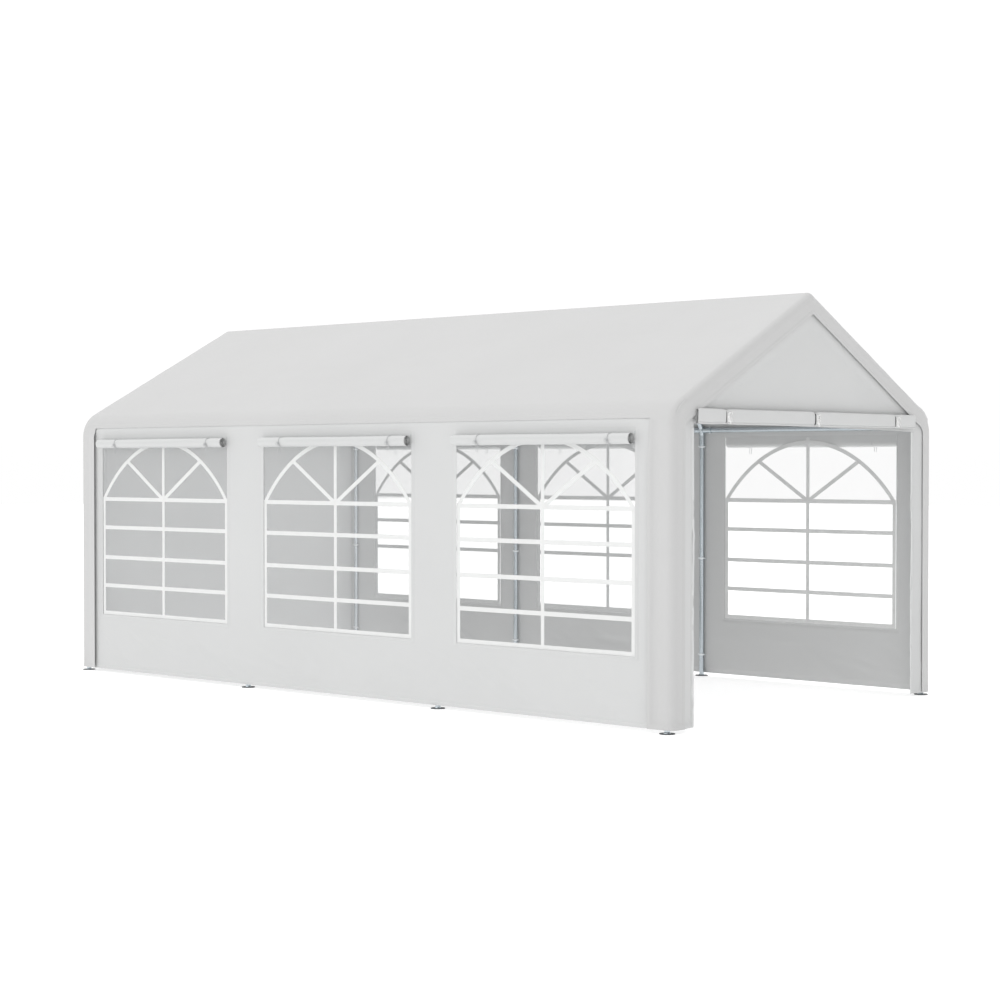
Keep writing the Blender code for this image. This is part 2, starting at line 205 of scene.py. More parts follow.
def cloth_material(name, colour, roughness, weave_depth, dent_depth, shine=0.35):
    """Coated woven sheet: weave by crossed waves on the UV map, and broad soft dents."""
    material, tree, shader = new_material(name, colour, roughness)
    place = add_node(tree, "ShaderNodeTexCoord")
    vary_colour(tree, shader, colour, *CLOTH_BLOTCH, (place, "Object"))
    scale = WAVE_PER_METRE / WEAVE_PITCH
    warp, weft = [add_node(tree, "ShaderNodeTexWave", {"Scale": scale}, bands_direction=axis)
                  for axis in ("X", "Y")]
    weave = add_node(tree, "ShaderNodeMath", operation="MULTIPLY")
    fine = add_node(tree, "ShaderNodeBump", {"Strength": 1.0, "Distance": weave_depth})
    dents = add_node(tree, "ShaderNodeTexNoise", {"Scale": DENT_SCALE, "Detail": 4.0})
    broad = add_node(tree, "ShaderNodeBump", {"Strength": 1.0, "Distance": dent_depth})
    for thread, slot in ((warp, 0), (weft, 1)):
        wire(tree, (place, "UV"), (thread, "Vector"))
        wire(tree, (thread, "Fac"), (weave, slot))
    wire(tree, (place, "Object"), (dents, "Vector"))
    wire(tree, (dents, "Fac"), (broad, "Height"))
    wire(tree, (weave, 0), (fine, "Height"))
    wire(tree, (broad, 0), (fine, "Normal"))
    wire(tree, (fine, 0), (shader, "Normal"))
    shader.inputs["Specular IOR Level"].default_value = shine
    shader.inputs["Sheen Weight"].default_value = 0.05
    return material


cover_cloth = cloth_material("cover_cloth", (0.548, 0.548, 0.547), 0.55, 0.00010, 0.0035)
wall_cloth = cloth_material("wall_cloth", (0.587, 0.592, 0.591), 0.55, 0.00010, 0.0030)
flap_cloth = cloth_material("flap_cloth", (0.570, 0.577, 0.575), 0.28, 0.00006, 0.0010, 0.7)
hem_tape = cloth_material("hem_tape", (0.66, 0.668, 0.665), 0.5, 0.00006, 0.0010)
print("cloth weave pitch:", WEAVE_PITCH)

# %% [markdown]
# The frame is galvanised steel tube: bluish grey, with the faint patchwork of zinc crystals
# that hot dipping leaves. Voronoi cells give each crystal its own brightness and polish. The
# foot plates are the same steel, darker and rougher from lying on the ground.

# %% Steel materials
ZINC_CELLS = 90.0
POLISH_SPREAD = 0.01


def steel_material(name, colour, roughness, contrast, metallic=0.85):
    """Zinc-coated steel: crystal cells change its brightness and, less, its roughness."""
    material, tree, shader = new_material(name, colour, roughness, metallic)
    place = add_node(tree, "ShaderNodeTexCoord")
    cells = add_node(tree, "ShaderNodeTexVoronoi", {"Scale": ZINC_CELLS})
    grey = add_node(tree, "ShaderNodeRGBToBW")
    shade = add_node(tree, "ShaderNodeMapRange", {"To Min": 1 - contrast, "To Max": 1 + contrast})
    tint = add_node(tree, "ShaderNodeVectorMath", {0: colour}, operation="SCALE")
    polish = add_node(tree, "ShaderNodeMapRange", {"To Min": roughness - POLISH_SPREAD,
                                                   "To Max": roughness + POLISH_SPREAD})
    wire(tree, (place, "Object"), (cells, "Vector"))
    wire(tree, (cells, "Color"), (grey, 0))
    wire(tree, (grey, 0), (shade, "Value"))
    wire(tree, (grey, 0), (polish, "Value"))
    wire(tree, (shade, 0), (tint, "Scale"))
    wire(tree, (tint, 0), (shader, "Base Color"))
    wire(tree, (polish, 0), (shader, "Roughness"))
    return material


zinc_steel = steel_material("zinc_steel", (0.54, 0.590, 0.625), 0.22, 0.02, 0.95)
plate_steel = steel_material("plate_steel", (0.12, 0.125, 0.13), 0.55, 0.12)
bolt_steel = steel_material("bolt_steel", (0.86, 0.89, 0.91), 0.35, 0.03, 0.4)
print("zinc crystals to the metre:", ZINC_CELLS)

# %% [markdown]
# The panes are clear soft film. Glass would bend what is behind it, which a film a third of
# a millimetre thick hardly does, so the film is mostly see-through and keeps a little haze,
# which is stronger towards the closed end. The bands on it are white vinyl tape. The window
# rolls are tied with string whose grey, darker than its own white, is painted shade for the
# gaps in its bows. The door's roll is tied with bows of white tape and a near-black cord whose
# colour is painted shade for the shadow in each tie's crease.

# %% Film, tape and string materials
FILM_HAZE = (0.035, 0.060)
REAR_HAZE = 0.13
HAZE_FROM_X = 0.9  # the added haze starts here
HAZE_FULL_X = 0.1  # and is all there from here to the closed end
RIPPLE_DEPTH = 0.002
TAPE_BLOTCH = (0.02, 25.0)


def film_material():
    """Clear film: a low alpha is its haze, a slow noise plus a share that grows towards the
    closed end, and a shallow noise is its ripples."""
    material, tree, shader = new_material("window_film", (0.80, 0.81, 0.815), 0.12)
    shader.inputs["Specular IOR Level"].default_value = 0.3
    place = add_node(tree, "ShaderNodeTexCoord")
    axes = add_node(tree, "ShaderNodeSeparateXYZ")
    drift = add_node(tree, "ShaderNodeMapRange", {"From Min": HAZE_FROM_X, "To Min": 0.0,
                                                  "From Max": HAZE_FULL_X, "To Max": REAR_HAZE})
    total = add_node(tree, "ShaderNodeMath", operation="ADD")
    haze = add_node(tree, "ShaderNodeTexNoise", {"Scale": 3.0, "Detail": 2.0})
    ramp = add_node(tree, "ShaderNodeMapRange", {"To Min": FILM_HAZE[0], "To Max": FILM_HAZE[1]})
    ripple = add_node(tree, "ShaderNodeTexNoise", {"Scale": 4.0, "Detail": 1.0})
    bump = add_node(tree, "ShaderNodeBump", {"Strength": 0.5, "Distance": RIPPLE_DEPTH})
    for reader in (haze, ripple, axes):
        wire(tree, (place, "Object"), (reader, "Vector"))
    wire(tree, (haze, "Fac"), (ramp, "Value"))
    wire(tree, (axes, "X"), (drift, "Value"))
    wire(tree, (ramp, 0), (total, 0))
    wire(tree, (drift, 0), (total, 1))
    wire(tree, (total, 0), (shader, "Alpha"))
    wire(tree, (ripple, "Fac"), (bump, "Height"))
    wire(tree, (bump, 0), (shader, "Normal"))
    return material


def ribbed_material(name, colour, roughness, pitch, depth):
    """Tape or string: fine ribs across its length, which is the V of its UV map."""
    material, tree, shader = new_material(name, colour, roughness)
    place = add_node(tree, "ShaderNodeTexCoord")
    vary_colour(tree, shader, colour, *TAPE_BLOTCH, (place, "Object"))
    ribs = add_node(tree, "ShaderNodeTexWave", {"Scale": WAVE_PER_METRE / pitch},
                    bands_direction="Y")
    bump = add_node(tree, "ShaderNodeBump", {"Strength": 1.0, "Distance": depth})
    wire(tree, (place, "UV"), (ribs, "Vector"))
    wire(tree, (ribs, "Fac"), (bump, "Height"))
    wire(tree, (bump, 0), (shader, "Normal"))
    return material


clear_film = film_material()
band_tape = ribbed_material("band_tape", (0.72, 0.725, 0.72), 0.4, 0.004, 0.00005)
tie_tape = ribbed_material("tie_tape", (0.92, 0.92, 0.915), 0.6, 0.0015, 0.0002)
# The string is really white; its grey is painted shade, standing for the shadowed gaps in the ties'
# bows.
tie_string = ribbed_material("tie_string", (0.50, 0.51, 0.515), 0.7, 0.0025, 0.0004)
# The cord's near-black colour is painted shade: it stands for the shadow in the crease at each of the
# door roll's ties.
painted_shade_cord = ribbed_material("painted_shade_cord", (0.05, 0.052, 0.055), 0.7, 0.0025, 0.0004)
zip_coil = ribbed_material("zip_coil", (0.84, 0.85, 0.85), 0.35, 0.0030, 0.0010)
print("materials:", len(bpy.data.materials))

# %% [markdown]
# ## Surfaces from grids
# Every new piece is a surface on a grid of points: rows along one direction, columns along
# the other. A patch holds the points, the faces between neighbours and their UVs in metres.
# A tube is a patch whose last column joins the first, closed with a fan at each end. Loops
# over vertices would be slow, so whole arrays are computed and handed to the mesh at once.

# %% Patches


def grid_patch(points, across, along, wrap_across=False, wrap_along=False, keep=None):
    """A surface from points[row, column]. across and along are the distances in metres of
    the columns and the rows, with one value more where that direction closes on itself.
    keep, if given, is False at the quads that are left out."""
    rows, columns = points.shape[:2]
    row, column = np.meshgrid(np.arange(rows - (not wrap_along)),
                              np.arange(columns - (not wrap_across)), indexing="ij")
    if keep is not None:
        row, column = row[keep], column[keep]
    rows_of = np.stack([row, row, row + 1, row + 1], -1).reshape(-1, 4)
    columns_of = np.stack([column, column + 1, column + 1, column], -1).reshape(-1, 4)
    quads = (rows_of % rows) * columns + columns_of % columns
    uv = np.stack([np.asarray(across)[columns_of], np.asarray(along)[rows_of]], -1)
    return points.reshape(-1, 3), [(quads, uv)]


def end_fans(patch, rows, columns):
    """Closes both ends of a tube patch with triangles to a point in the middle of each."""
    points, faces = patch
    rings = points[:columns], points[-columns:]
    centres = np.array([ring.mean(0) for ring in rings])
    side = np.arange(columns)
    after = (side + 1) % columns
    last = (rows - 1) * columns
    first_fan = np.stack([after, side, np.full(columns, len(points))], -1)
    last_fan = np.stack([last + side, last + after, np.full(columns, len(points) + 1)], -1)
    fans = np.concatenate([first_fan, last_fan])
    uv = np.concatenate([points, centres])[fans][..., :2]
    return np.concatenate([points, centres]), faces + [(fans, uv)]


def distances(points):
    """How far along a line of points each one lies, from 0 at the first."""
    steps = np.linalg.norm(np.diff(points, axis=0), axis=1)
    return np.concatenate([[0], np.cumsum(steps)])


def stations(marks, step):
    """Places from the first mark to the last, with every mark among them, a step apart."""
    runs = [np.linspace(a, b, max(int(np.ceil((b - a) / step)), 1), endpoint=False)
            for a, b in zip(marks, marks[1:])]
    return np.append(np.concatenate(runs), marks[-1])


def smooth_step(value):
    """0 below 0, 1 above 1, and 3v^2 - 2v^3 between them."""
    value = np.clip(value, 0, 1)
    return value * value * (3 - 2 * value)


# %% Profiles carried along paths
ROUND_SIDES = 24


def circle(radius, sides=ROUND_SIDES):
    """A closed round profile: radius times (cos a, sin a)."""
    angle = np.linspace(0, 2 * pi, sides, endpoint=False)
    return radius * np.stack([np.cos(angle), np.sin(angle)], -1)


def flat_bar(width, thickness, power=0.35, sides=12):
    """A closed flat profile with soft corners: a circle whose cosines and sines are raised
    to a small power, stretched to the width and the thickness."""
    unit = circle(1.0, sides)
    unit = np.sign(unit) * np.abs(unit) ** power
    return unit * (width / 2, thickness / 2)


def sweep(path, profile, reference, closed=False, sizes=1.0):
    """A closed profile carried along a path. Across each point of the path the profile's
    first axis is reference x tangent and its second is tangent x first, times the size."""
    path = np.asarray(path, float)
    if closed:
        tangent = np.roll(path, -1, 0) - np.roll(path, 1, 0)
    else:
        tangent = np.gradient(path, axis=0)
    tangent = tangent / np.linalg.norm(tangent, axis=1, keepdims=True)
    first = np.cross(np.broadcast_to(reference, path.shape), tangent)
    first = first / np.linalg.norm(first, axis=1, keepdims=True)
    second = np.cross(tangent, first)
    sizes = np.broadcast_to(sizes, len(path))[:, None, None]
    reach = profile[None, :, :1] * first[:, None] + profile[None, :, 1:] * second[:, None]
    points = path[:, None] + sizes * reach
    around = distances(np.vstack([profile, profile[:1]]))
    along = distances(np.vstack([path, path[:1]]) if closed else path)
    patch = grid_patch(points, around, along, wrap_across=True, wrap_along=closed)
    return patch if closed else end_fans(patch, len(path), len(profile))


def turned(base, axis, outline, sides=ROUND_SIDES):
    """A body turned round an axis: outline lists (height along the axis, radius)."""
    base, axis = np.asarray(base, float), np.asarray(axis, float)
    heights, radii = np.array(outline).T
    spare = (1, 0, 0) if abs(axis[0]) < 0.9 else (0, 1, 0)
    first = np.cross(spare, axis)
    second = np.cross(axis, first)
    unit = circle(1.0, sides)
    reach = unit[None, :, :1] * first + unit[None, :, 1:] * second
    points = base + heights[:, None, None] * axis + radii[:, None, None] * reach
    around = np.linspace(0, 2 * pi * max(radii), sides + 1)
    along = distances(np.stack([heights, radii], -1))
    patch = grid_patch(points, around, along, wrap_across=True)
    return end_fans(patch, len(heights), sides)


# %% From patches to pieces
SHARP_ANGLE = radians(38)
tally = {}


def sharpen_borders(mesh):
    """Marks the edges that only one face uses as sharp, so that a sheet is shaded flat up to
    its border and not rounded into the thin rim that Solidify adds there."""
    edge_of_corner = np.empty(len(mesh.loops), np.int32)
    mesh.loops.foreach_get("edge_index", edge_of_corner)
    sharp = np.empty(len(mesh.edges), bool)
    mesh.edges.foreach_get("use_edge_sharp", sharp)
    faces_beside = np.bincount(edge_of_corner, minlength=len(sharp))
    mesh.edges.foreach_set("use_edge_sharp", sharp | (faces_beside == 1))


def make_mesh(name, patches):
    """One mesh from patches. Points that no face uses are dropped."""
    start = np.cumsum([0] + [len(points) for points, faces in patches])
    sets = [(quads + first, uv) for first, (points, faces) in zip(start, patches)
            for quads, uv in faces]
    sizes = np.concatenate([np.full(len(corners), corners.shape[1]) for corners, uv in sets])
    loops = np.concatenate([corners.ravel() for corners, uv in sets])
    uvs = np.concatenate([uv.reshape(-1, 2) for corners, uv in sets])
    used, loops = np.unique(loops, return_inverse=True)
    points = np.concatenate([points for points, faces in patches])[used]
    mesh = bpy.data.meshes.new(name)
    mesh.vertices.add(len(points))
    mesh.vertices.foreach_set("co", points.astype(np.float32).ravel())
    mesh.loops.add(len(loops))
    mesh.loops.foreach_set("vertex_index", loops.astype(np.int32))
    mesh.polygons.add(len(sizes))
    mesh.polygons.foreach_set("loop_start", (np.cumsum(sizes) - sizes).astype(np.int32))
    mesh.update(calc_edges=True)
    layer = mesh.uv_layers.new(name="UVMap")
    layer.data.foreach_set("uv", uvs.astype(np.float32).ravel())
    mesh.shade_smooth()
    mesh.set_sharp_from_angle(angle=SHARP_ANGLE)
    sharpen_borders(mesh)
    return mesh


def add_piece(name, patches, material, stands_for=(), thickness=0.0):
    """A finished piece, riding on the tent. A thickness grows inwards from its outer face."""
    item = bpy.data.objects.new(name, make_mesh(name, patches))
    bpy.context.scene.collection.objects.link(item)
    item.data.materials.append(material)
    if thickness:
        wall = item.modifiers.new("thickness", "SOLIDIFY")
        wall.thickness = thickness
        wall.offset = -1
    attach(item, "root")
    if stands_for:
        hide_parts(*stands_for)
    tally[name] = len(item.data.polygons)
    return item


# %% [markdown]
# ## Sizes from the frame
# Nothing is measured twice: the places of the legs, the cover and the walls come from the
# solids' own boxes, and only the sizes that a box cannot tell are named here.

# %% Sizes of the tent
SIDES = (("front", -1), ("back", 1))
ENDS = (("open", 1), ("rear", -1))
NUMBERS = (1, 2, 3, 4)
BAYS = NUMBERS[:-1]
SLOPE = radians(27.9)
ELBOW_R = 0.180
TUBE_R = 0.018
SLEEVE_R = 0.021
RIDGE_ROUND = 0.040
EDGE_ROUND = 0.050
OVERLAP = 0.0005  # how far rings and welds reach into the tube that they sit on


def box_middle(node):
    """The middle of a solid's box: the mean of its lowest and highest corners."""
    low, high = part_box(node)
    return (low + high) / 2


cover_low, cover_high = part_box("roof_cover")
MIDDLE_X = (cover_low.x + cover_high.x) / 2
COVER_END = (cover_high.x - cover_low.x) / 2
COVER_Y = cover_high.y
HEM_Z = cover_low.z
BENT_XS = [box_middle(f"leg_front_{number}").x for number in NUMBERS]
LEG_Y = box_middle("leg_back_1").y
ELBOW_Y = LEG_Y - ELBOW_R
COVER_R = COVER_Y - ELBOW_Y
RIDGE_POINT_Z = cover_high.z + RIDGE_ROUND * (1 / cos(SLOPE) - 1)
ELBOW_Z = RIDGE_POINT_Z - COVER_R / cos(SLOPE) - ELBOW_Y * tan(SLOPE)
print("bents at", np.round(BENT_XS, 3), "leg line", round(LEG_Y, 3), "elbow", round(ELBOW_Z, 3))

# %% [markdown]
# ## Legs
# A leg is a straight tube on a round foot plate. Rings with a cross bolt mark its joints,
# and a ring of weld sits between the plate and the tube. Tubes are circles carried along a
# path, and the plate and the rings are turned, as on a lathe.

# %% Legs
FOOT_R = 0.050
FOOT_T = 0.005
LEG_RINGS = (0.167, 0.920)
RING_R = 0.0232
RING_H = 0.013
PLATE_EDGE = 0.001
WELD_OUTLINE = ((0, 0.0235), (0.002, 0.0232), (0.005, 0.0205), (0.009, TUBE_R))
RING_BOLT = 0.035  # half of a bolt's length
BOLT_R = 0.0030
HEAD_R = 0.0052
HEAD_H = 0.004
HEAD_EDGE = 0.0006
NUT_AT = 0.003  # the nut starts this far in from the bolt's end
leg_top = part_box("leg_front_1")[1].z


def ring_patch(centre, axis, inner, outer, height):
    """A ring with rounded edges, closed through its bore: an oval carried round a circle."""
    axis = np.asarray(axis, float)
    spare = (1, 0, 0) if abs(axis[0]) < 0.9 else (0, 1, 0)
    first = np.cross(spare, axis)
    first = first / np.linalg.norm(first)
    second = np.cross(axis, first)
    unit = circle((inner + outer) / 2)
    path = np.asarray(centre) + unit[:, :1] * first + unit[:, 1:] * second
    return sweep(path, flat_bar(outer - inner, height, 0.5), axis, closed=True)


def bolt_patches(centre, axis, half_length):
    """A through bolt: a shank, a six-sided head on one end and a nut on the other."""
    centre, axis = np.asarray(centre, float), np.asarray(axis, float)
    start = centre - axis * half_length
    shank = turned(start, axis, [(0, 0.6 * BOLT_R), (0.001, BOLT_R),
                                 (2 * half_length, BOLT_R)], 10)
    head = [(0, 0.9 * HEAD_R), (HEAD_EDGE, HEAD_R), (HEAD_H - HEAD_EDGE, HEAD_R),
            (HEAD_H, 0.9 * HEAD_R)]
    caps = [turned(centre + axis * place, axis, head, 6)
            for place in (half_length - HEAD_H, -half_length + NUT_AT)]
    return [shank] + caps


def leg_pieces(word, side, number):
    """The tube, plate, rings and bolts of one leg."""
    x, y = BENT_XS[number - 1], side * LEG_Y
    label = f"{word}_{number}"
    heights = stations([FOOT_T, *LEG_RINGS, leg_top], 0.3)
    path = np.stack([np.full_like(heights, x), np.full_like(heights, y), heights], -1)
    tube = sweep(path, circle(TUBE_R, 32), (1, 0, 0))
    weld = turned((x, y, FOOT_T - OVERLAP), (0, 0, 1), WELD_OUTLINE)
    add_piece(f"leg_tube_{label}", [tube, weld], zinc_steel,
              [f"leg_{label}"])
    inner = FOOT_R - PLATE_EDGE
    outline = [(0, inner), (PLATE_EDGE, FOOT_R), (FOOT_T - PLATE_EDGE, FOOT_R), (FOOT_T, inner)]
    plate = turned((x, y, 0), (0, 0, 1), outline, 48)
    add_piece(f"foot_plate_{label}", [plate], plate_steel)
    fixings = [ring_patch((x, y, z), (0, 0, 1), TUBE_R - OVERLAP, RING_R, RING_H)
               for z in LEG_RINGS]
    for z in LEG_RINGS:
        fixings += bolt_patches((x, y, z), (1, 0, 0), RING_BOLT)
    add_piece(f"leg_rings_{label}", fixings, bolt_steel)


for word, side in SIDES:
    for number in NUMBERS:
        leg_pieces(word, side, number)
print("legs:", len(SIDES) * len(NUMBERS))

# %% [markdown]
# ## Fittings
# At each eave a bent sleeve joins a leg to a rafter, and at the ridge a second one joins two
# rafters. Short sleeves along X take the purlins. One path per sleeve, with an arc at the
# bend, gives a tube that stays round through the turn. Each mouth has a rolled lip.

# %% Fittings
SLEEVE_FOOT_Z = 1.790
RAFTER_SLEEVE = 0.090
PURLIN_SLEEVE = 0.100
RIDGE_SLEEVE = 0.120
RIDGE_BEND_R = 0.050
EAVE_PURLIN_Z = box_middle("eave_purlin_back_1").z
EAVE_PURLIN_Y = box_middle("eave_purlin_back_1").y
RIDGE_PURLIN_Z = box_middle("ridge_purlin_1").z
RAFTER_POINT_Z = ELBOW_Z + ELBOW_R / cos(SLOPE) + ELBOW_Y * tan(SLOPE)
LIP_R = 0.0226
LIP_H = 0.006
COLLAR_R = 0.0232  # a weld collar where a purlin's sleeve leaves the bent one
COLLAR_H = 0.004
SLEEVE_BOLT_AT = 0.078
SLEEVE_BOLT = 0.026
FOOT_BOLT_RISE = 0.004


def lip_patch(mouth, inward):
    """The rolled lip round a sleeve's mouth."""
    return ring_patch(mouth + 0.4 * LIP_H * inward, inward, TUBE_R + 0.0002, LIP_R, LIP_H)


def sleeve_patches(path):
    """A sleeve along a path that is flat in X, with a lip at each end."""
    patches = [sweep(path, circle(SLEEVE_R, 32), (1, 0, 0))]
    for mouth, after in ((path[0], path[1]), (path[-1], path[-2])):
        inward = (after - mouth) / np.linalg.norm(after - mouth)
        patches.append(lip_patch(mouth, inward))
    return patches


def flat_path(x, places):
    """Points (x, y, z) from places (y, z), at one x."""
    places = np.asarray(places, float)
    return np.column_stack([np.full(len(places), x), places])


def eave_path(x, side):
    """Up the leg, round the elbow and up the rafter: straight, arc, straight."""
    angle = np.linspace(0, pi / 2 - SLOPE, 15)
    bend = np.stack([ELBOW_Y + ELBOW_R * np.cos(angle), ELBOW_Z + ELBOW_R * np.sin(angle)], -1)
    end = bend[-1] + RAFTER_SLEEVE * np.array([-cos(SLOPE), sin(SLOPE)])
    places = np.vstack([[LEG_Y, SLEEVE_FOOT_Z], bend, end]) * (side, 1)
    return flat_path(x, places)


def ridge_path(x):
    """Up one rafter, over the ridge's small arc and down the other."""
    angle = np.linspace(pi / 2 - SLOPE, pi / 2 + SLOPE, 11)
    low = RAFTER_POINT_Z - RIDGE_BEND_R / cos(SLOPE)
    bend = np.stack([RIDGE_BEND_R * np.cos(angle), low + RIDGE_BEND_R * np.sin(angle)], -1)
    foot = np.array([RIDGE_SLEEVE * cos(SLOPE), RAFTER_POINT_Z - RIDGE_SLEEVE * sin(SLOPE)])
    return flat_path(x, np.vstack([foot, bend, foot * (-1, 1)]))


def purlin_ways(number):
    """The ways along X, -1 or 1, in which another bent stands beside this one."""
    return [way for way in (-1, 1) if number + way in NUMBERS]


def purlin_sleeves(number, y, z):
    """The sleeves along X of one fitting, towards the bents that stand beside it."""
    x = BENT_XS[number - 1]
    patches = []
    for way in purlin_ways(number):
        mouth = np.array([x + way * PURLIN_SLEEVE, y, z])
        path = np.linspace((x, y, z), mouth, 3)
        patches.append(sweep(path, circle(SLEEVE_R, 32), (0, 1, 0)))
        patches.append(lip_patch(mouth, np.array([-way, 0, 0])))
        patches.append(ring_patch((x + way * (SLEEVE_R + 0.001), y, z), (1, 0, 0),
                                  SLEEVE_R - 0.001, COLLAR_R, COLLAR_H))
    return patches


def fitting_bolts(number, y, z):
    """One bolt through each purlin sleeve."""
    places = [(BENT_XS[number - 1] + way * SLEEVE_BOLT_AT, y, z) for way in purlin_ways(number)]
    return [patch for place in places for patch in bolt_patches(place, (0, 0, 1), SLEEVE_BOLT)]


for number in NUMBERS:
    x = BENT_XS[number - 1]
    patches = sleeve_patches(ridge_path(x)) + purlin_sleeves(number, 0, RIDGE_PURLIN_Z)
    add_piece(f"ridge_sleeve_{number}", patches, zinc_steel,
              [f"ridge_fitting_{number}"])
    bolts = fitting_bolts(number, 0, RIDGE_PURLIN_Z)
    for word, side in SIDES:
        purlin_place = number, side * EAVE_PURLIN_Y, EAVE_PURLIN_Z
        patches = sleeve_patches(eave_path(x, side)) + purlin_sleeves(*purlin_place)
        add_piece(f"eave_sleeve_{word}_{number}", patches, zinc_steel,
                  [f"eave_fitting_{word}_{number}"])
        bolts += fitting_bolts(*purlin_place)
        bolts.append(ring_patch((x, side * LEG_Y, SLEEVE_FOOT_Z), (0, 0, 1), SLEEVE_R - OVERLAP,
                                RING_R, RING_H))
        bolts += bolt_patches((x, side * LEG_Y, SLEEVE_FOOT_Z + FOOT_BOLT_RISE), (1, 0, 0),
                              RING_BOLT)
    add_piece(f"fitting_bolts_{number}", bolts, bolt_steel)
print("fittings:", 3 * len(NUMBERS))

# %% [markdown]
# ## Rafters and purlins
# These are plain lengths of the same tube, pushed 60 mm into the sleeves at both ends. Each
# is one circle carried along a straight path.

# %% Rafters and purlins
SOCKET = 0.0597


def straight_piece(name, node, start, end):
    """A straight tube between two points, in place of a node."""
    path = np.linspace(start, end, 5)
    across = (1, 0, 0) if abs(end[0] - start[0]) < 0.5 else (0, 1, 0)
    add_piece(name, [sweep(path, circle(TUBE_R, 32), across)], zinc_steel,
              [node])


up_rafter = np.array([-cos(SLOPE), sin(SLOPE)])
bend_end = np.array([ELBOW_Y + ELBOW_R * sin(SLOPE), ELBOW_Z + ELBOW_R * cos(SLOPE)])
rafter_low = bend_end + (RAFTER_SLEEVE - SOCKET) * up_rafter
rafter_high = np.array([0, RAFTER_POINT_Z]) - (RIDGE_SLEEVE - SOCKET) * up_rafter
for number in NUMBERS:
    x = BENT_XS[number - 1]
    for word, side in SIDES:
        start, end = flat_path(x, [rafter_low * (side, 1), rafter_high * (side, 1)])
        straight_piece(f"rafter_tube_{word}_{number}", f"rafter_{word}_{number}", start, end)
for bay in BAYS:
    gap = PURLIN_SLEEVE - SOCKET
    low_x, high_x = BENT_XS[bay - 1] + gap, BENT_XS[bay] - gap
    straight_piece(f"ridge_tube_{bay}", f"ridge_purlin_{bay}",
                   (low_x, 0, RIDGE_PURLIN_Z), (high_x, 0, RIDGE_PURLIN_Z))
    for word, side in SIDES:
        y = side * EAVE_PURLIN_Y
        straight_piece(f"eave_tube_{word}_{bay}", f"eave_purlin_{word}_{bay}",
                       (low_x, y, EAVE_PURLIN_Z), (high_x, y, EAVE_PURLIN_Z))
print("tubes:", len(SIDES) * len(NUMBERS) + (1 + len(SIDES)) * len(BAYS))

# %% [markdown]
# ## The roof cover
# The cover is one fitted sheet: it runs up each leg, round the eaves and over the ridge, and
# at both ends it turns through a soft round into a flat band, with a cover down each corner
# leg. Flat panels would show a crease at every bend, so it is one grid. A row is a place on
# the section across the tent, a column a place along X, and each column has an inset, which
# is how far the sheet has turned in towards the middle of the end.

# %% Section of the cover
EAVE_HEM_Z = 1.940
LEG_COVER_X = 2.820
RIDGE_ROUND_LEAST = 0.012
CLOTH_T = 0.0009
BANDS = (0.122, 0.139, 0.130)  # depth of the end band at the legs, the eaves and the ridge


def cover_section(inset, legs, bends, slopes, ridges):
    """Half of the cover's section as (y, z) for every row and column. The legs are upright at
    COVER_Y - inset, the eave is an arc of radius COVER_R - inset about the elbow's centre,
    the ridge an arc of radius RIDGE_ROUND - inset, and the slope runs straight between."""
    top = pi / 2 - SLOPE
    count = len(legs)
    inset_leg = inset[:count]
    y_leg = COVER_Y - inset_leg
    z_leg = np.broadcast_to(legs[:, None], y_leg.shape)
    angle = bends[:, None]
    r = COVER_R - inset[count:count + len(bends)]
    y_bend = ELBOW_Y + r * np.cos(angle)
    z_bend = ELBOW_Z + r * np.sin(angle)
    last = inset[-len(ridges):]
    r = np.maximum(RIDGE_ROUND - last, RIDGE_ROUND_LEAST)
    middle = RIDGE_POINT_Z - (last + r) / cos(SLOPE)
    y_ridge = r * np.sin(ridges[:, None])
    z_ridge = middle + r * np.cos(ridges[:, None])
    share = slopes[:, None]
    r = COVER_R - inset[count + len(bends):-len(ridges)]
    y_low = ELBOW_Y + r * cos(top)
    z_low = ELBOW_Z + r * sin(top)
    y_slope = y_low + share * (y_ridge[:1] - y_low)
    z_slope = z_low + share * (z_ridge[:1] - z_low)
    y = np.concatenate([y_leg, y_bend, y_slope, y_ridge])
    z = np.concatenate([z_leg, z_bend, z_slope, z_ridge])
    return y, z


# %% Rows and columns of the cover
SEAM_STEP = 0.0015
HEM_W = 0.028

HEM_MARKS = [HEM_Z, HEM_Z + HEM_W, HEM_Z + HEM_W + SEAM_STEP]
HEM_EDGE_Z = HEM_Z + HEM_W + SEAM_STEP / 3  # between the hem's last row and the next
hem_angle = np.arcsin((EAVE_HEM_Z - ELBOW_Z) / COVER_R)
hem_turn = HEM_W / COVER_R
seam_turn = SEAM_STEP / COVER_R
legs = stations([*HEM_MARKS, ELBOW_Z], 0.06)
bends = stations([0, hem_angle, hem_angle + hem_turn, hem_angle + hem_turn + seam_turn,
                  pi / 2 - SLOPE], 0.085)[1:]
slopes = np.linspace(0, 1, 27)[1:-1]
ridges = np.linspace(SLOPE, 0, 5)
parts = np.repeat([0, 1, 2, 3], [len(legs), len(bends), len(slopes), len(ridges)])
turn = np.concatenate([0 * legs, bends / (pi / 2 - SLOPE), 1 + 0 * slopes, 1 + 0 * ridges])
depth = BANDS[0] + (BANDS[1] - BANDS[0]) * turn
depth[parts > 1] = np.linspace(BANDS[1], BANDS[2], np.sum(parts > 1))

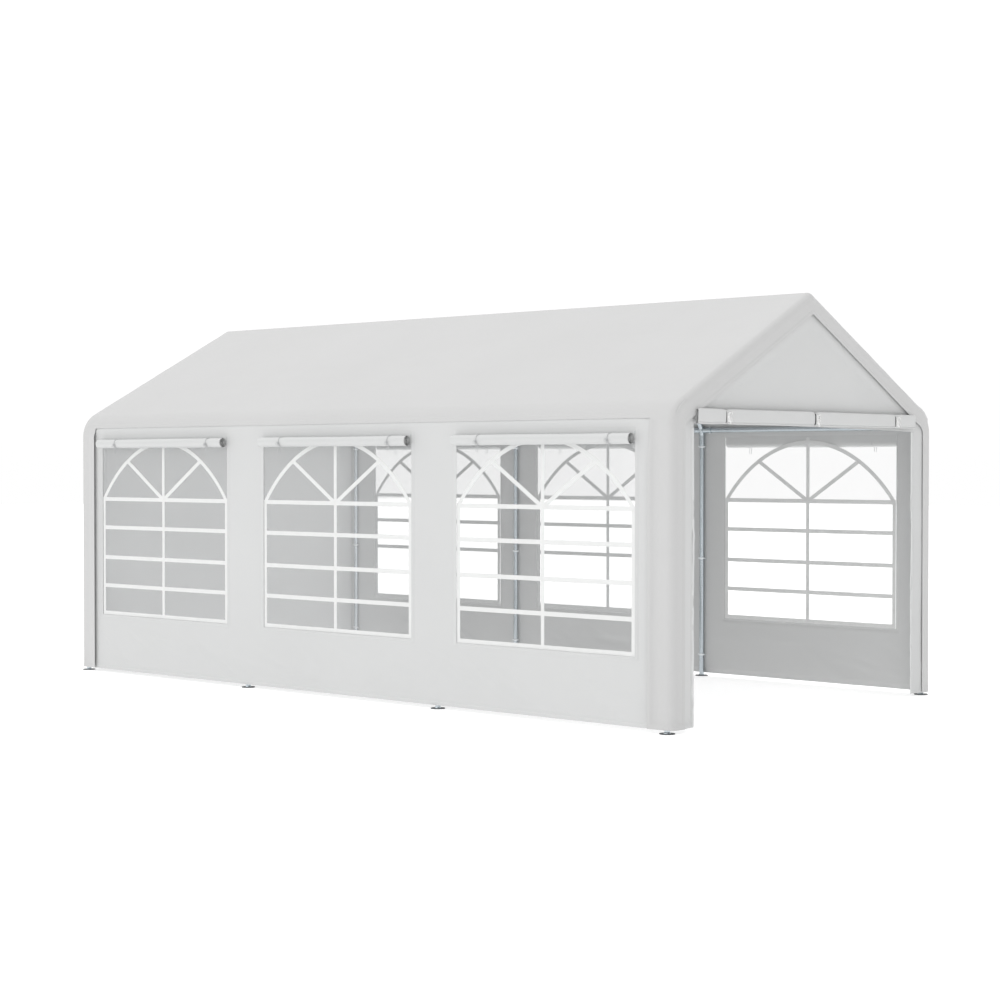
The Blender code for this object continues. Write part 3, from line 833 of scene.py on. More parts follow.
round_turn = np.linspace(0, pi / 2, 10)[1:]
flat_xs = stations([0, LEG_COVER_X, LEG_COVER_X + HEM_W, LEG_COVER_X + HEM_W + SEAM_STEP,
                    COVER_END - EDGE_ROUND], 0.075)
round_xs = COVER_END - EDGE_ROUND * (1 - np.sin(round_turn))
BAND_HEM_FROM = 0.71  # the band's hem is the part of its depth past this share
BAND_STITCHES = 0.86
band_share = np.array([0.15, 0.3, 0.45, 0.6, 0.7, 0.72, BAND_STITCHES, 1.0])
half_x = np.concatenate([flat_xs, round_xs, np.full(len(band_share), COVER_END)])
half_inset = np.concatenate([0 * flat_xs, EDGE_ROUND * (1 - np.cos(round_turn)),
                             np.full(len(band_share), EDGE_ROUND)])
half_share = np.concatenate([0 * flat_xs, 0 * round_turn, band_share])
column_x = np.concatenate([-half_x[:0:-1], half_x])
column_inset = np.concatenate([half_inset[:0:-1], half_inset])
column_share = np.concatenate([half_share[:0:-1], half_share])
inset = column_inset + column_share * (depth[:, None] - EDGE_ROUND)
half_y, half_z = cover_section(inset, legs, bends, slopes, ridges)
print("cover grid:", 2 * len(depth) - 1, "rows,", len(column_x), "columns")

# %% [markdown]
# A stretched sheet is never quite flat. Between two bents it hangs in by a few millimetres,
# where it turns through the round it gathers into small ripples, and the loose edge of each
# leg cover stands a little off the wall behind it. These are smooth functions of the place on
# the sheet, added along its outward direction.

# %% Sag, ripples and loose edges
SAG = 0.006
RIPPLE = 0.0012
LOOSE_EDGE = 0.012
REAR_LOOSER = 1.3  # the leg covers of the closed end stand off this much further
REAR_WIDER = 0.012  # and reach this much further along the wall
LOOSE_W = 0.10  # the looseness fades over this much round to the leg
LOOSE_FADE = (0.06, 0.30)  # and over this much up to the eave, at the closed and open end
HEM_LIFT = 0.0010
RIPPLE_COUNT = 23
RIPPLE_AT = 0.02  # the ripples are deepest where the sheet has turned in this far
RIPPLE_W = 0.03


def loose_edge(x, z):
    """How loose the sheet hangs: 1 at a leg cover's edge, fading to 0 round to the leg and up
    to the eave."""
    fade_up = np.where(x < 0, *LOOSE_FADE)
    on_leg = smooth_step((EAVE_HEM_Z - 0.005 - z) / fade_up)
    return smooth_step((LEG_COVER_X + LOOSE_W - np.abs(x)) / LOOSE_W) * on_leg


def cover_lift(x, share_up, edge, inset):
    """How far the sheet stands out: minus the sag between bents, plus ripples at the round,
    plus the loose edge."""
    bay = (x - (BENT_XS[0] - MIDDLE_X)) / (BENT_XS[1] - BENT_XS[0])
    inside = (bay > 0) & (bay < len(BAYS))
    sag = SAG * np.sin(pi * bay) ** 2 * np.sin(pi * share_up) ** 2 * inside
    ripple = RIPPLE * np.sin(2 * pi * share_up * RIPPLE_COUNT + 3 * np.sin(9 * share_up))
    ripple = ripple * np.exp(-((inset - RIPPLE_AT) / RIPPLE_W) ** 2) * (share_up > 0)
    return ripple - sag + LOOSE_EDGE * edge * edge * np.where(x < 0, REAR_LOOSER, 1)


def cover_surface():
    """The whole cover: the half section and its mirror image, lifted along its normals."""
    rows = len(depth)
    x = np.broadcast_to(column_x, half_y.shape)
    middle = len(half_x)
    arc = distances(np.column_stack([half_y[:, middle], half_z[:, middle]]))
    share_up = np.clip((np.arange(rows) - len(legs) - len(bends)) / (len(slopes) + 1), 0, 1)
    edge = loose_edge(x, half_z)
    lift = cover_lift(x, share_up[:, None], edge, inset)
    hem = (half_z < HEM_EDGE_Z) & (parts[:, None] == 0)
    near_eave = (bends >= hem_angle - 1e-6) & (bends < hem_angle + hem_turn + seam_turn / 3)
    eave = np.zeros(rows, bool)
    eave[len(legs):len(legs) + len(bends)] = near_eave
    open_hem = eave[:, None] & (np.abs(x) < LEG_COVER_X + HEM_W)
    leg_edge = (np.abs(x) < LEG_COVER_X + HEM_W + SEAM_STEP / 3) & (half_z < EAVE_HEM_Z)
    lift = lift + HEM_LIFT * (hem | open_hem | leg_edge | (column_share > BAND_HEM_FROM))
    dy = np.gradient(half_y, axis=0)
    dz = np.gradient(half_z, axis=0)
    length = np.hypot(dy, dz)
    tip = np.clip(inset / EDGE_ROUND, 0, 1)
    out_yz = np.sqrt(1 - tip * tip)
    normal_x = np.sign(x) * tip
    y = half_y + lift * out_yz * dz / length
    z = half_z - lift * out_yz * dy / length
    x = x + lift * normal_x + REAR_WIDER * edge * (x < 0)
    half = np.stack([x + MIDDLE_X, y, z], -1)
    other = half[-2::-1] * (1, -1, 1)
    along = np.concatenate([arc, 2 * arc[-1] - arc[-2::-1]])
    return np.concatenate([half, other]), along


def drop_below_eave(rows, columns):
    """False at the quads that the cover does not have: below the eave, between leg covers."""
    low_rows = len(legs) + np.sum(bends < hem_angle + 1e-6) - 1
    keep = np.ones((rows - 1, columns - 1), bool)
    middle = (column_x[:-1] + column_x[1:]) / 2
    open_part = np.abs(middle) < LEG_COVER_X
    keep[:low_rows, open_part] = False
    keep[rows - 1 - low_rows:, open_part] = False
    return keep


cover_points, cover_along = cover_surface()
cover_across = np.sign(column_x) * (np.abs(column_x) + column_inset
                                    + column_share * (BANDS[2] - EDGE_ROUND))
cover_keep = drop_below_eave(*cover_points.shape[:2])
cover_patch = grid_patch(cover_points, cover_across, cover_along, keep=cover_keep)
cover = add_piece("cover_sheet", [cover_patch], cover_cloth,
                  ["roof_cover"], CLOTH_T)
print("cover faces:", len(cover.data.polygons), "section", round(cover_along[-1], 2), "m")

# %% [markdown]
# ## Long walls
# A long wall hangs inside the cover's eave and down to just above the ground. Its windows are
# true openings. The wall is a grid too, with columns at the windows' edges, so that the
# openings are simply quads left out. Its upper part follows the elbow in under the cover.

# %% Wall sizes
SKIN = 0.0003  # the gap that touching surfaces keep
roll_low, roll_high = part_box("window_roll_front_1")
WALL_OUT_Y = -roll_high.y - SKIN
WALL_END_X = 2.930
WALL_R = WALL_OUT_Y - ELBOW_Y
WALL_TOP_ANGLE = radians(35)
WINDOW_W = 1.530
WINDOW_BOTTOM_Z = 0.460
WINDOW_TOP_Z = 1.860
WELT_W = 0.020
WELT_EDGE = WELT_W + SEAM_STEP


def window_middles(word):
    """The windows' middles along X, from the solids of their panes."""
    return [box_middle(f"window_film_{word}_{number}").x for number in BAYS]


print("wall's outer face:", round(WALL_OUT_Y, 4), "windows at", np.round(window_middles("front"), 3))

# %% [markdown]
# The cloth hangs nearly flat: it swells a little between the legs, flutters at the loose hem
# and keeps a few diagonal creases near the ground from being folded. A crease is a short
# ridge: a bell curve across its line, fading at both ends. Many of them are added at once, by
# giving every crease its own layer of the array.

# %% Relief of hanging cloth
CREASES = 34
CREASE_DEPTH = 0.0062
CREASE_TURN = 0.18  # spread of the creases' angles
CREASE_REACH = (0.12, 0.45)
CREASE_W = (0.012, 0.035)
WALL_SWELL = 0.0022
HEM_FLUTTER = 0.0030
FLUTTER_PITCH = 0.62
LOW_FADE = 0.35  # the flutter fades over this height up to the windows
CALM_FADE = (1.75, 0.5)  # the swell fades below this height, over this much
UPRIGHT_SHARE = 0.4  # upright creases between the windows, as a share of the low ones
LEG_CLEAR = 0.0002  # the wall may hang in by this much at a leg
BAY_CLEAR = 0.0070  # and by this much more midway between legs
EAVE_BULGE = 0.0036  # above the roll's seam the wall swells out towards the cover
ROLL_SEAM_Z = 1.885


def creases(across, up, seed, low, high, lean):
    """The sum of soft ridges on lines that lean from the level by about the angle lean."""
    chance = np.random.default_rng(seed)
    place_u = chance.uniform(across.min(), across.max(), CREASES)
    place_v = chance.uniform(low, high, CREASES)
    angle = lean + chance.normal(0, CREASE_TURN, CREASES)
    reach = chance.uniform(*CREASE_REACH, CREASES)
    width = chance.uniform(*CREASE_W, CREASES)
    size = CREASE_DEPTH * chance.uniform(0.3, 1.0, CREASES) * chance.choice([-1, 1], CREASES)
    du = across[..., None] - place_u
    dv = up[..., None] - place_v
    along_it = du * np.cos(angle) + dv * np.sin(angle)
    beside_it = dv * np.cos(angle) - du * np.sin(angle)
    ridge = size * np.exp(-(beside_it / width) ** 2 - (along_it / reach) ** 2)
    return ridge.sum(-1)


def wall_relief(x, z, seed):
    """How far a long wall stands out: a swell between legs, a flutter at the hem, creases."""
    low = smooth_step((WINDOW_BOTTOM_Z + 0.05 - z) / LOW_FADE)
    calm = smooth_step((CALM_FADE[0] - z) / CALM_FADE[1])
    ends = smooth_step((LEG_COVER_X - np.abs(x - MIDDLE_X)) / LOOSE_W)
    between_legs = np.sin(pi * (x - BENT_XS[0]) / (BENT_XS[1] - BENT_XS[0])) ** 2
    swell = WALL_SWELL * between_legs * calm
    flutter = HEM_FLUTTER * low * (0.5 + 0.5 * np.sin(2 * pi * x / FLUTTER_PITCH + np.sin(3.1 * x)))
    fold = creases(x, z, seed, 0.03, 0.44, -0.35) * low
    fold = fold + UPRIGHT_SHARE * creases(x, z, seed + 20, 0.5, 1.7, 1.45) * calm
    inward = LEG_CLEAR + BAY_CLEAR * between_legs
    relief = np.maximum((swell + flutter + fold) * ends, -inward)
    eave = EAVE_BULGE * smooth_step((z - ROLL_SEAM_Z - 0.004) / 0.035)
    return relief + SKIN + eave * ends


# %% Long walls
PROUD = 0.7 * HEM_LIFT  # the hem and the welts stand out by this much


def wall_rows():
    """The wall's section as places (y, z), from the hem up and in round the elbow."""
    upright = stations([*HEM_MARKS, WINDOW_BOTTOM_Z - WELT_EDGE, WINDOW_BOTTOM_Z - WELT_W,
                        WINDOW_BOTTOM_Z, WINDOW_TOP_Z, ELBOW_Z], 0.020)
    angle = np.linspace(0, WALL_TOP_ANGLE, 11)[1:]
    y = np.concatenate([np.full(len(upright), WALL_OUT_Y), ELBOW_Y + WALL_R * np.cos(angle)])
    z = np.concatenate([upright, ELBOW_Z + WALL_R * np.sin(angle)])
    return y, z


def wall_columns(word):
    """Places along X with the windows' edges and their welts among them."""
    marks = [MIDDLE_X - WALL_END_X]
    for middle in window_middles(word):
        low, high = middle - WINDOW_W / 2, middle + WINDOW_W / 2
        marks += [low - WELT_EDGE, low - WELT_W, low, high, high + WELT_W, high + WELT_EDGE]
    return stations(marks + [MIDDLE_X + WALL_END_X], 0.022)


def in_windows(word, x, z, margin=0.0):
    """True where a place lies in one of the windows, widened by a margin."""
    inside = np.zeros(np.broadcast(x, z).shape, bool)
    for middle in window_middles(word):
        inside |= ((np.abs(x - middle) < WINDOW_W / 2 + margin)
                   & (z > WINDOW_BOTTOM_Z - margin) & (z < WINDOW_TOP_Z + margin))
    return inside


def long_wall(word, side, seed):
    """One long wall, with its hem and the welts round its windows standing a little proud."""
    y, z = wall_rows()
    x = wall_columns(word)
    grid_x, grid_z = np.meshgrid(x, z)
    lift = wall_relief(grid_x, grid_z, seed)
    welt = in_windows(word, grid_x, grid_z, WELT_W + SEAM_STEP / 3)
    lift = lift + PROUD * (welt | (grid_z < HEM_EDGE_Z))
    angle = np.arcsin(np.clip((grid_z - ELBOW_Z) / WALL_R, 0, 1))
    points = np.stack([grid_x, side * (y[:, None] + lift * np.cos(angle)),
                       grid_z + lift * np.sin(angle)], -1)
    if side > 0:
        points = points[:, ::-1]
        x = x[::-1]
    middle_x, middle_z = (x[:-1] + x[1:]) / 2, (z[:-1] + z[1:]) / 2
    keep = ~in_windows(word, middle_x[None, :], middle_z[:, None])
    return grid_patch(points, x, distances(np.stack([y, z], -1)), keep=keep)


for seed, (word, side) in enumerate(SIDES):
    add_piece(f"long_wall_{word}", [long_wall(word, side, seed + 3)], wall_cloth,
                            [f"side_wall_{word}"], CLOTH_T)

# %% [markdown]
# ## Windows
# Each window is a pane of clear film sewn behind its opening. White bands welded to the film
# draw a mullion, a post at each side, five rails, an arch and two spokes. A band is a flat bar
# carried along a line on the film, and film and bands share one function for the film's
# gentle waves, so a band never lifts off or sinks in.

# %% Window panes
FILM_LAP = 0.010
FILM_T = 0.0004
FILM_WAVE = 0.0009
FILM_WAVE_H = 0.9
FILM_WAVE_W = 1.1
FILM_Y = WALL_OUT_Y - 0.0040
PANE_STEPS = 40


def film_wave(u, z):
    """How far the film stands out at u metres from the window's middle, at height z: two
    crossed waves that fade towards the window's sides."""
    fade = smooth_step((WINDOW_W / 2 - np.abs(u)) / 0.1)
    rise = np.sin(2 * pi * (z - WINDOW_BOTTOM_Z) / FILM_WAVE_H + 2 * u)
    return FILM_WAVE * fade * rise * np.sin(2 * pi * u / FILM_WAVE_W + 0.7)


def window_pane(middle, side):
    """The film as a grid a little larger than its opening."""
    u = np.linspace(-WINDOW_W / 2 - FILM_LAP, WINDOW_W / 2 + FILM_LAP, PANE_STEPS) * -side
    z = np.linspace(WINDOW_BOTTOM_Z - FILM_LAP, WINDOW_TOP_Z + FILM_LAP, PANE_STEPS)
    grid_u, grid_z = np.meshgrid(u, z)
    y = side * (FILM_Y + film_wave(grid_u, grid_z))
    points = np.stack([middle + grid_u, y, grid_z], -1)
    return grid_patch(points, u, z)


# %% Window bands
BAND_W = 0.0295
BAND_T = 0.0006
SIDE_BAND = 0.750
RAILS = (0.475, 0.693, 0.917, 1.154, 1.379)
SPRING_Z = 1.379
ARCH_TOP_Z = 1.820
SPOKE_END = (0.450, 1.679)
BAND_OFF = 0.0001  # the bands' gap to the film
BAND_LAYER = 0.0002  # and how much further out each layer lies


def arch_height(u):
    """The arch's height over the spring line: halfway between a parabola and a round arc."""
    rise = ARCH_TOP_Z - SPRING_Z
    radius = (SIDE_BAND**2 + rise**2) / (2 * rise)
    circular = np.sqrt(radius**2 - u**2) - (radius - rise)
    parabola = rise * (1 - (u / SIDE_BAND) ** 2)
    return (circular + parabola) / 2


def band_lines():
    """Every band of a window as a line of points (u, z) and its layer on the film."""
    rail = np.linspace(-SIDE_BAND - BAND_W / 2, SIDE_BAND + BAND_W / 2, 30)
    lines = [(np.stack([rail, np.full_like(rail, z)], -1), 0) for z in RAILS]
    post = np.linspace(RAILS[0], SPRING_Z, 20)
    lines += [(np.stack([np.full_like(post, u), post], -1), 1) for u in (-SIDE_BAND, SIDE_BAND)]
    mullion = np.linspace(RAILS[0], WINDOW_TOP_Z - 0.004, 26)
    lines.append((np.stack([0 * mullion, mullion], -1), 1))
    u = SIDE_BAND * np.sin(np.linspace(-pi / 2, pi / 2, 41))
    lines.append((np.stack([u, SPRING_Z + arch_height(u)], -1), 2))
    for way in (-1, 1):
        lines.append((np.linspace((0, SPRING_Z), (way * SPOKE_END[0], SPOKE_END[1]), 12), 3))
    return lines


def window_bands(middle, side):
    """The bands of one window, each layer a hair further out than the one it crosses."""
    patches = []
    for line, layer in band_lines():
        u, z = line.T
        out = FILM_Y + film_wave(u, z) + BAND_T / 2 + BAND_OFF + BAND_LAYER * layer
        path = np.stack([middle + u, side * out, z], -1)
        patches.append(sweep(path, flat_bar(BAND_W, BAND_T, 0.3, 16), (0, 1, 0)))
    return patches


for word, side in SIDES:
    for number, middle in zip(NUMBERS, window_middles(word)):
        pane = add_piece(f"window_pane_{word}_{number}", [window_pane(middle, side)], clear_film,
                         [f"window_film_{word}_{number}"], FILM_T)
        bands = add_piece(f"window_bands_{word}_{number}", window_bands(middle, side), band_tape)
print("windows:", len(SIDES) * len(BAYS), "bands in each:", len(band_lines()))

# %% [markdown]
# ## Rolled window flaps
# Over each window hangs its storm flap, rolled up and tied twice. A solid cylinder would look
# like a pipe: the real roll shows its turns at the ends. So it is the true sheet, 1.4 m long,
# carried round a spiral. Its radius shrinks by one turn's spacing each time round, the string
# pinches it, and the inner turns sit back from the end, as they do in a roll made by hand.

# %% Roll shapes
FLAP_W = 1.525
FLAP_L = 1.400
ROLL_R = 0.036
ROLL_SPACING = 0.0029
ROLL_CLOTH_T = 0.0008
TIE_FROM_LEFT = 0.240
TIE_FROM_RIGHT = 0.165
BACK_TIE_SHIFT = 0.027
FLAP_SLIP = 0.010
PINCH = 0.0020
PINCH_W = 0.009
END_TAPER = 0.0006  # the roll is this much thinner at its ends
END_TAPER_W = 0.05
ROLL_OFF = 0.0012  # the roll's gap to the wall
ROLL_TRIM = 0.0006  # the spiral starts at a radius this much under ROLL_R
TWO_WAVES = 0.0007  # depths of the roll's unevenness, two and three waves to the turn
THREE_WAVES = 0.0005
ROLL_Z = roll_low.z + ROLL_R
SEAM_RISE = ROLL_SEAM_Z - ROLL_Z  # from the roll's middle up to the seam it hangs from


def roll_turns(length):
    """The angle of a spiral whose line is that long: the length is the sum of 2 pi r over the
    turns, r falling from ROLL_R by the spacing each turn, which is a quadratic equation."""
    a = -ROLL_SPACING / (4 * pi)
    return (-ROLL_R + sqrt(ROLL_R**2 + 4 * a * length)) / (2 * a)


def pinch(x, ties, width):
    """1 at a tie, falling off as a bell curve of that width."""
    return sum(np.exp(-((x - place) / width) ** 2) for place in ties)


def turn_angles(last, outer, inner):
    """Angles along a spiral: outer steps in its first turn, inner steps in each later one."""
    turns = last / (2 * pi) - 1
    later = np.linspace(2 * pi, last, int(turns * inner) + 1)
    return np.concatenate([np.linspace(0, 2 * pi, outer, endpoint=False), later])


def tie_columns(low, high, ties, reach, count):
    """Places along a roll: even ones, with more near each tie and near both ends."""
    near = [place + np.linspace(-reach, reach, 13) for place in ties]
    ends = [low + np.array([0, 0.004, 0.012, 0.03]), high - np.array([0.03, 0.012, 0.004, 0])]
    places = np.unique(np.concatenate([np.linspace(low, high, count)] + near + ends))
    return places[np.concatenate([[True], np.diff(places) > 0.0015])]


def slipped(angle, depth, start):
    """How far each turn has slid in from the end: none until the outer turn is nearly done,
    then waves of about three turns each, at most as far as the depth, so that dark hollows
    and lighter edges take turns."""
    turn = angle / (2 * pi)
    wave = 0.5 - 0.5 * np.cos(2 * pi * (turn - 1) / 3.1 + 0.3 * np.sin(start))
    return depth * smooth_step((turn - 0.8) / 0.5) * (0.35 + 0.65 * wave)


def roll_patch(middle, side, ties, seed):
    """The flap: down the wall from its seam, then round and in on the spiral."""
    strip = np.linspace(SEAM_RISE, 0, 5)[:-1]
    angle = turn_angles(roll_turns(FLAP_L - SEAM_RISE), 40, 15)
    u = tie_columns(-FLAP_W / 2, FLAP_W / 2, ties, 0.024, 30)
    wobble = np.random.default_rng(seed).uniform(0, 2 * pi, 4)
    tight = pinch(u, ties, PINCH_W)
    end = smooth_step((np.abs(u) - FLAP_W / 2 + END_TAPER_W) / END_TAPER_W)
    a = angle[:, None]
    r = ROLL_R - ROLL_TRIM - ROLL_SPACING * a / (2 * pi)
    soft = (TWO_WAVES * np.sin(2 * a + wobble[0] + 4 * u)
            + THREE_WAVES * np.sin(3 * a + 7 * u + wobble[1]))
    r = r - (PINCH * tight + END_TAPER * end) * r / ROLL_R + soft * r / ROLL_R
    strip_shape = len(strip), len(u)
    x = np.concatenate([np.broadcast_to(u, strip_shape),
                        u * (1 - slipped(angle, FLAP_SLIP, wobble[2])[:, None] / (FLAP_W / 2))])
    out = np.concatenate([np.full(strip_shape, ROLL_CLOTH_T),
                          np.maximum(ROLL_R - r * np.cos(a), ROLL_CLOTH_T / 2)])
    z = np.concatenate([np.broadcast_to(ROLL_Z + strip[:, None], strip_shape),
                        ROLL_Z - r * np.sin(a)])
    points = np.stack([middle + x, side * (WALL_OUT_Y + ROLL_OFF + out), z], -1)
    along = np.concatenate([strip[0] - strip, strip[0] + ROLL_R * angle])
    if side < 0:
        points = points[:, ::-1]
        u = u[::-1]
    return grid_patch(points, u, along)


# %% [markdown]
# A tie is a string round the roll, a knot, a small bow and two hanging ends. Each is a round
# profile carried along a curve: a circle about the roll, two loops like petals, and two ends
# that leave the knot and turn down.

# %% Ties of the window rolls
STRING_R = 0.0017
BOW_LOOP = 0.022
BOW_SPREAD = 0.0085
BOW_LEAN = (35, 65)  # degrees
LENGTH_SPREAD = (0.85, 1.1)  # loops and tails are this share of their length, by chance
KNOT_HALF = np.array([0.0042, 0, 0.001])
KNOT_R = 0.0038
TAIL = 0.055


def petal(size, spread):
    """A loop through the origin: size (1 - cos t) / 2 out and spread sin t across."""
    t = np.linspace(0, 2 * pi, 29)
    return np.stack([size * (1 - np.cos(t)) / 2, spread * np.sin(t)], -1)


def string_tie(x, side, seed):
    """One tie of a window roll, at x along the wall."""
    chance = np.random.default_rng(seed)
    centre_y = WALL_OUT_Y + ROLL_OFF + ROLL_R
    radius = ROLL_R - PINCH + STRING_R * 0.6
    a = np.linspace(0, 2 * pi, 64, endpoint=False)
    hoop = np.stack([np.full_like(a, x), side * (centre_y - radius * np.cos(a)),
                     ROLL_Z - radius * np.sin(a)], -1)
    patches = [sweep(hoop, circle(STRING_R, 8), (1, 0, 0), closed=True)]
    front = side * (centre_y + radius + STRING_R)
    knot = np.array([x, front, ROLL_Z - 0.004])
    share = np.linspace(-1, 1, 9)
    patches.append(sweep(knot + share[:, None] * KNOT_HALF, circle(KNOT_R, 10), (0, 1, 0),
                         sizes=np.sqrt(1.02 - share**2)))
    for way in (-1, 1):
        loop = petal(BOW_LOOP * chance.uniform(*LENGTH_SPREAD), BOW_SPREAD)
        lean = radians(chance.uniform(*BOW_LEAN))
        dx = way * (loop[:, 0] * cos(lean) + loop[:, 1] * sin(lean))
        dz = loop[:, 1] * cos(lean) - loop[:, 0] * sin(lean)
        dy = 0.007 * np.sin(np.linspace(0, pi, len(loop)))
        patches.append(sweep(knot + np.stack([dx, side * dy, dz], -1), circle(STRING_R, 8),
                             (0, 1, 0)))
        t = np.linspace(0, 1, 16)
        length = TAIL * chance.uniform(*LENGTH_SPREAD)
        tail = np.stack([way * 0.009 * np.sin(t * 2.2), -side * 0.014 * smooth_step(t * 1.4),
                         -length * t ** 1.15 - 0.018 * t], -1)
        patches.append(sweep(knot + tail, circle(STRING_R, 8), (0, 1, 0)))
    return patches


roll_seed = 0
for word, side in SIDES:
    for number in BAYS:
        roll_seed += 1
        node = f"window_roll_{word}_{number}"
        middle = box_middle(node).x
        ties = (-FLAP_W / 2 + TIE_FROM_LEFT, FLAP_W / 2 - TIE_FROM_RIGHT)
        ties = ties if side < 0 else tuple(BACK_TIE_SHIFT - place for place in reversed(ties))
        roll = add_piece(f"rolled_flap_{word}_{number}", [roll_patch(middle, side, ties, roll_seed)],
                         flap_cloth, [node], ROLL_CLOTH_T)
        strings = [patch for place in ties
                   for patch in string_tie(middle + place, side, roll_seed * 7 + int(place > 0))]
        # The string's grey tone is painted shade for the gaps in the bows.
        tie = add_piece(f"flap_ties_{word}_{number}", strings, tie_string)
print("turns in a roll:", round(roll_turns(FLAP_L - SEAM_RISE) / (2 * pi), 1))

# %% [markdown]
# ## End panels
# Each end has a gable sheet with a header over the doorway, and a long narrow strip sewn to it
# down each side. They hang just inside the band of the cover. One grid makes all three, so
# their seams meet: its columns run across the tent and its rows stop at the roof's slope.

# %% End panels
DOOR_HALF = 1.268
DOOR_TOP_Z = 1.885
PANEL_HALF = 1.462
PANEL_INSET = 0.0144
PANEL_WAVE = 0.0018
EDGE_SWELL = {1: 0.018, -1: 0.006}  # how far a margin swells out towards the band, by end
SLOPE_SWELL = 0.6  # the gable's share of that along its slopes
BAND_FROM_TOP = 0.130  # the band's inner edge, measured down from the gable's top
SWELL_FROM = 1.300
SWELL_W = 0.085
HEADER_RISE = 0.024  # the open end's header hangs higher over its front side
RISE_FROM_Z = 1.5  # the margins stretch above this height to meet the raised header
PANEL_STEP = 0.05
PANEL_WAVE_W = 0.83
PANEL_WAVE_H = 1.4
PANEL_CREASES = 0.5  # depth of the panels' creases, as a share of the long walls'
PANEL_FADE = (2.6, 0.6)  # the relief fades below this height, over this much
END_PROUD = 0.8 * HEM_LIFT
panel_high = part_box("end_wall_open")[1]
PANEL_X = panel_high.x - MIDDLE_X
SHEET_X = PANEL_X - 0.0025


def panel_relief(y, z, seed):
    """Gentle waves and a few creases, calm at the top where the panel is stretched."""
    wave = np.sin(2 * pi * y / PANEL_WAVE_W + 1.3 * z) * np.sin(2 * pi * z / PANEL_WAVE_H + seed)
    fold = creases(y, z, seed, 0.05, 1.5, 0.3) * PANEL_CREASES
    return (PANEL_WAVE * wave + fold) * smooth_step((PANEL_FADE[0] - z) / PANEL_FADE[1])


def header_rise(y, way):
    """How much higher than its own level the open end's header hangs at each y: all of the
    rise at the front side, less by the square of the share of the way to the back side."""
    share = np.clip((y + DOOR_HALF) / (2 * DOOR_HALF), 0, 1)
    return HEADER_RISE * (1 - share * share) * (way > 0)


def panel_top(y):
    """The height of the gable's upper edge: the roof's slope, and past it the elbow's arc."""
    radius = COVER_R - PANEL_INSET
    line = RIDGE_POINT_Z - PANEL_INSET / cos(SLOPE)
    line = line - np.maximum(np.abs(y), RIDGE_ROUND * sin(SLOPE)) * tan(SLOPE)
    past = np.clip(np.abs(y) - ELBOW_Y, 0, radius)
    return np.where(past > radius * sin(SLOPE), ELBOW_Z + np.sqrt(radius**2 - past**2), line)


def panel_swell(y, z, way):
    """How far an end panel swells out: all of it beside the legs, and a share of it along the
    gable's slopes."""
    near_slope = smooth_step((BAND_FROM_TOP + SWELL_W - (panel_top(y) - z)) / SWELL_W)
    near_leg = smooth_step((np.abs(y) - SWELL_FROM) / SWELL_W)
    return EDGE_SWELL[way] * np.maximum(SLOPE_SWELL * near_slope, near_leg)


def end_panel(way, seed):
    """The gable patch and the two margin patches of one end. Rows rise from the hem to the
    doorway's top, then share out the height up to the roof's slope."""
    marks = np.array([DOOR_HALF, DOOR_HALF + HEM_W, DOOR_HALF + HEM_W + SEAM_STEP, PANEL_HALF])
    y = stations([*-marks[::-1], 0, *marks], PANEL_STEP)
    low = stations([*HEM_MARKS, DOOR_TOP_Z], PANEL_STEP)
    rise = header_rise(y, way)
    stretch = smooth_step((low[:, None] - RISE_FROM_Z) / (DOOR_TOP_Z - RISE_FROM_Z))
    hem_rows = DOOR_TOP_Z + rise + np.array([[HEM_W], [HEM_W + SEAM_STEP]])
    share = np.linspace(0, 1, 26)[1:, None]
    gable = hem_rows[-1] + share * (panel_top(y) - hem_rows[-1])
    z = np.concatenate([low[:, None] + rise * stretch, hem_rows, gable])
    grid_y = np.broadcast_to(y, z.shape)
    by_door = np.abs(grid_y) < DOOR_HALF + HEM_W + SEAM_STEP / 3
    border = by_door & (np.arange(len(z))[:, None] <= len(low))
    lift = panel_relief(grid_y, z, seed) + END_PROUD * (border | (z < HEM_EDGE_Z))
    x = MIDDLE_X + way * (SHEET_X + lift + panel_swell(grid_y, z, way))
    points = np.stack([x, grid_y, z], -1)
    if way < 0:
        points = points[:, ::-1]
        y = y[::-1]
    seam = len(low) - 1
    along = np.concatenate([low, hem_rows[:, 0], gable[:, len(y) // 2]])
    edge = DOOR_HALF - 1e-6
    margins = [grid_patch(points[:seam + 1, strip], y[strip], low)
               for strip in (np.flatnonzero(y < -edge), np.flatnonzero(y > edge))]
    return grid_patch(points[seam:], y, along[seam:]), margins


panels, door_margins = {}, {}
for word, way in ENDS:
    gable_patch, margin_patches = end_panel(way, 11 + way)
    panels[word] = add_piece(f"gable_panel_{word}", [gable_patch], wall_cloth,
                             [f"end_wall_{word}"], CLOTH_T)
    for (side_word, side), patch in zip(SIDES, margin_patches):
        name = f"door_margin_{word}_{side_word}"
        door_margins[name] = add_piece(name, [patch], wall_cloth, (), CLOTH_T)
print("gable panels:", len(panels), "margins:", len(door_margins))

# %% [markdown]
# ## The closed rear door
# The rear doorway is shut by a plain sheet that is zipped to the margins on both sides. The
# sheet bulges a little. Each zip is a flat tape with a ribbed coil down its middle, and a
# slider with its pull at the bottom.

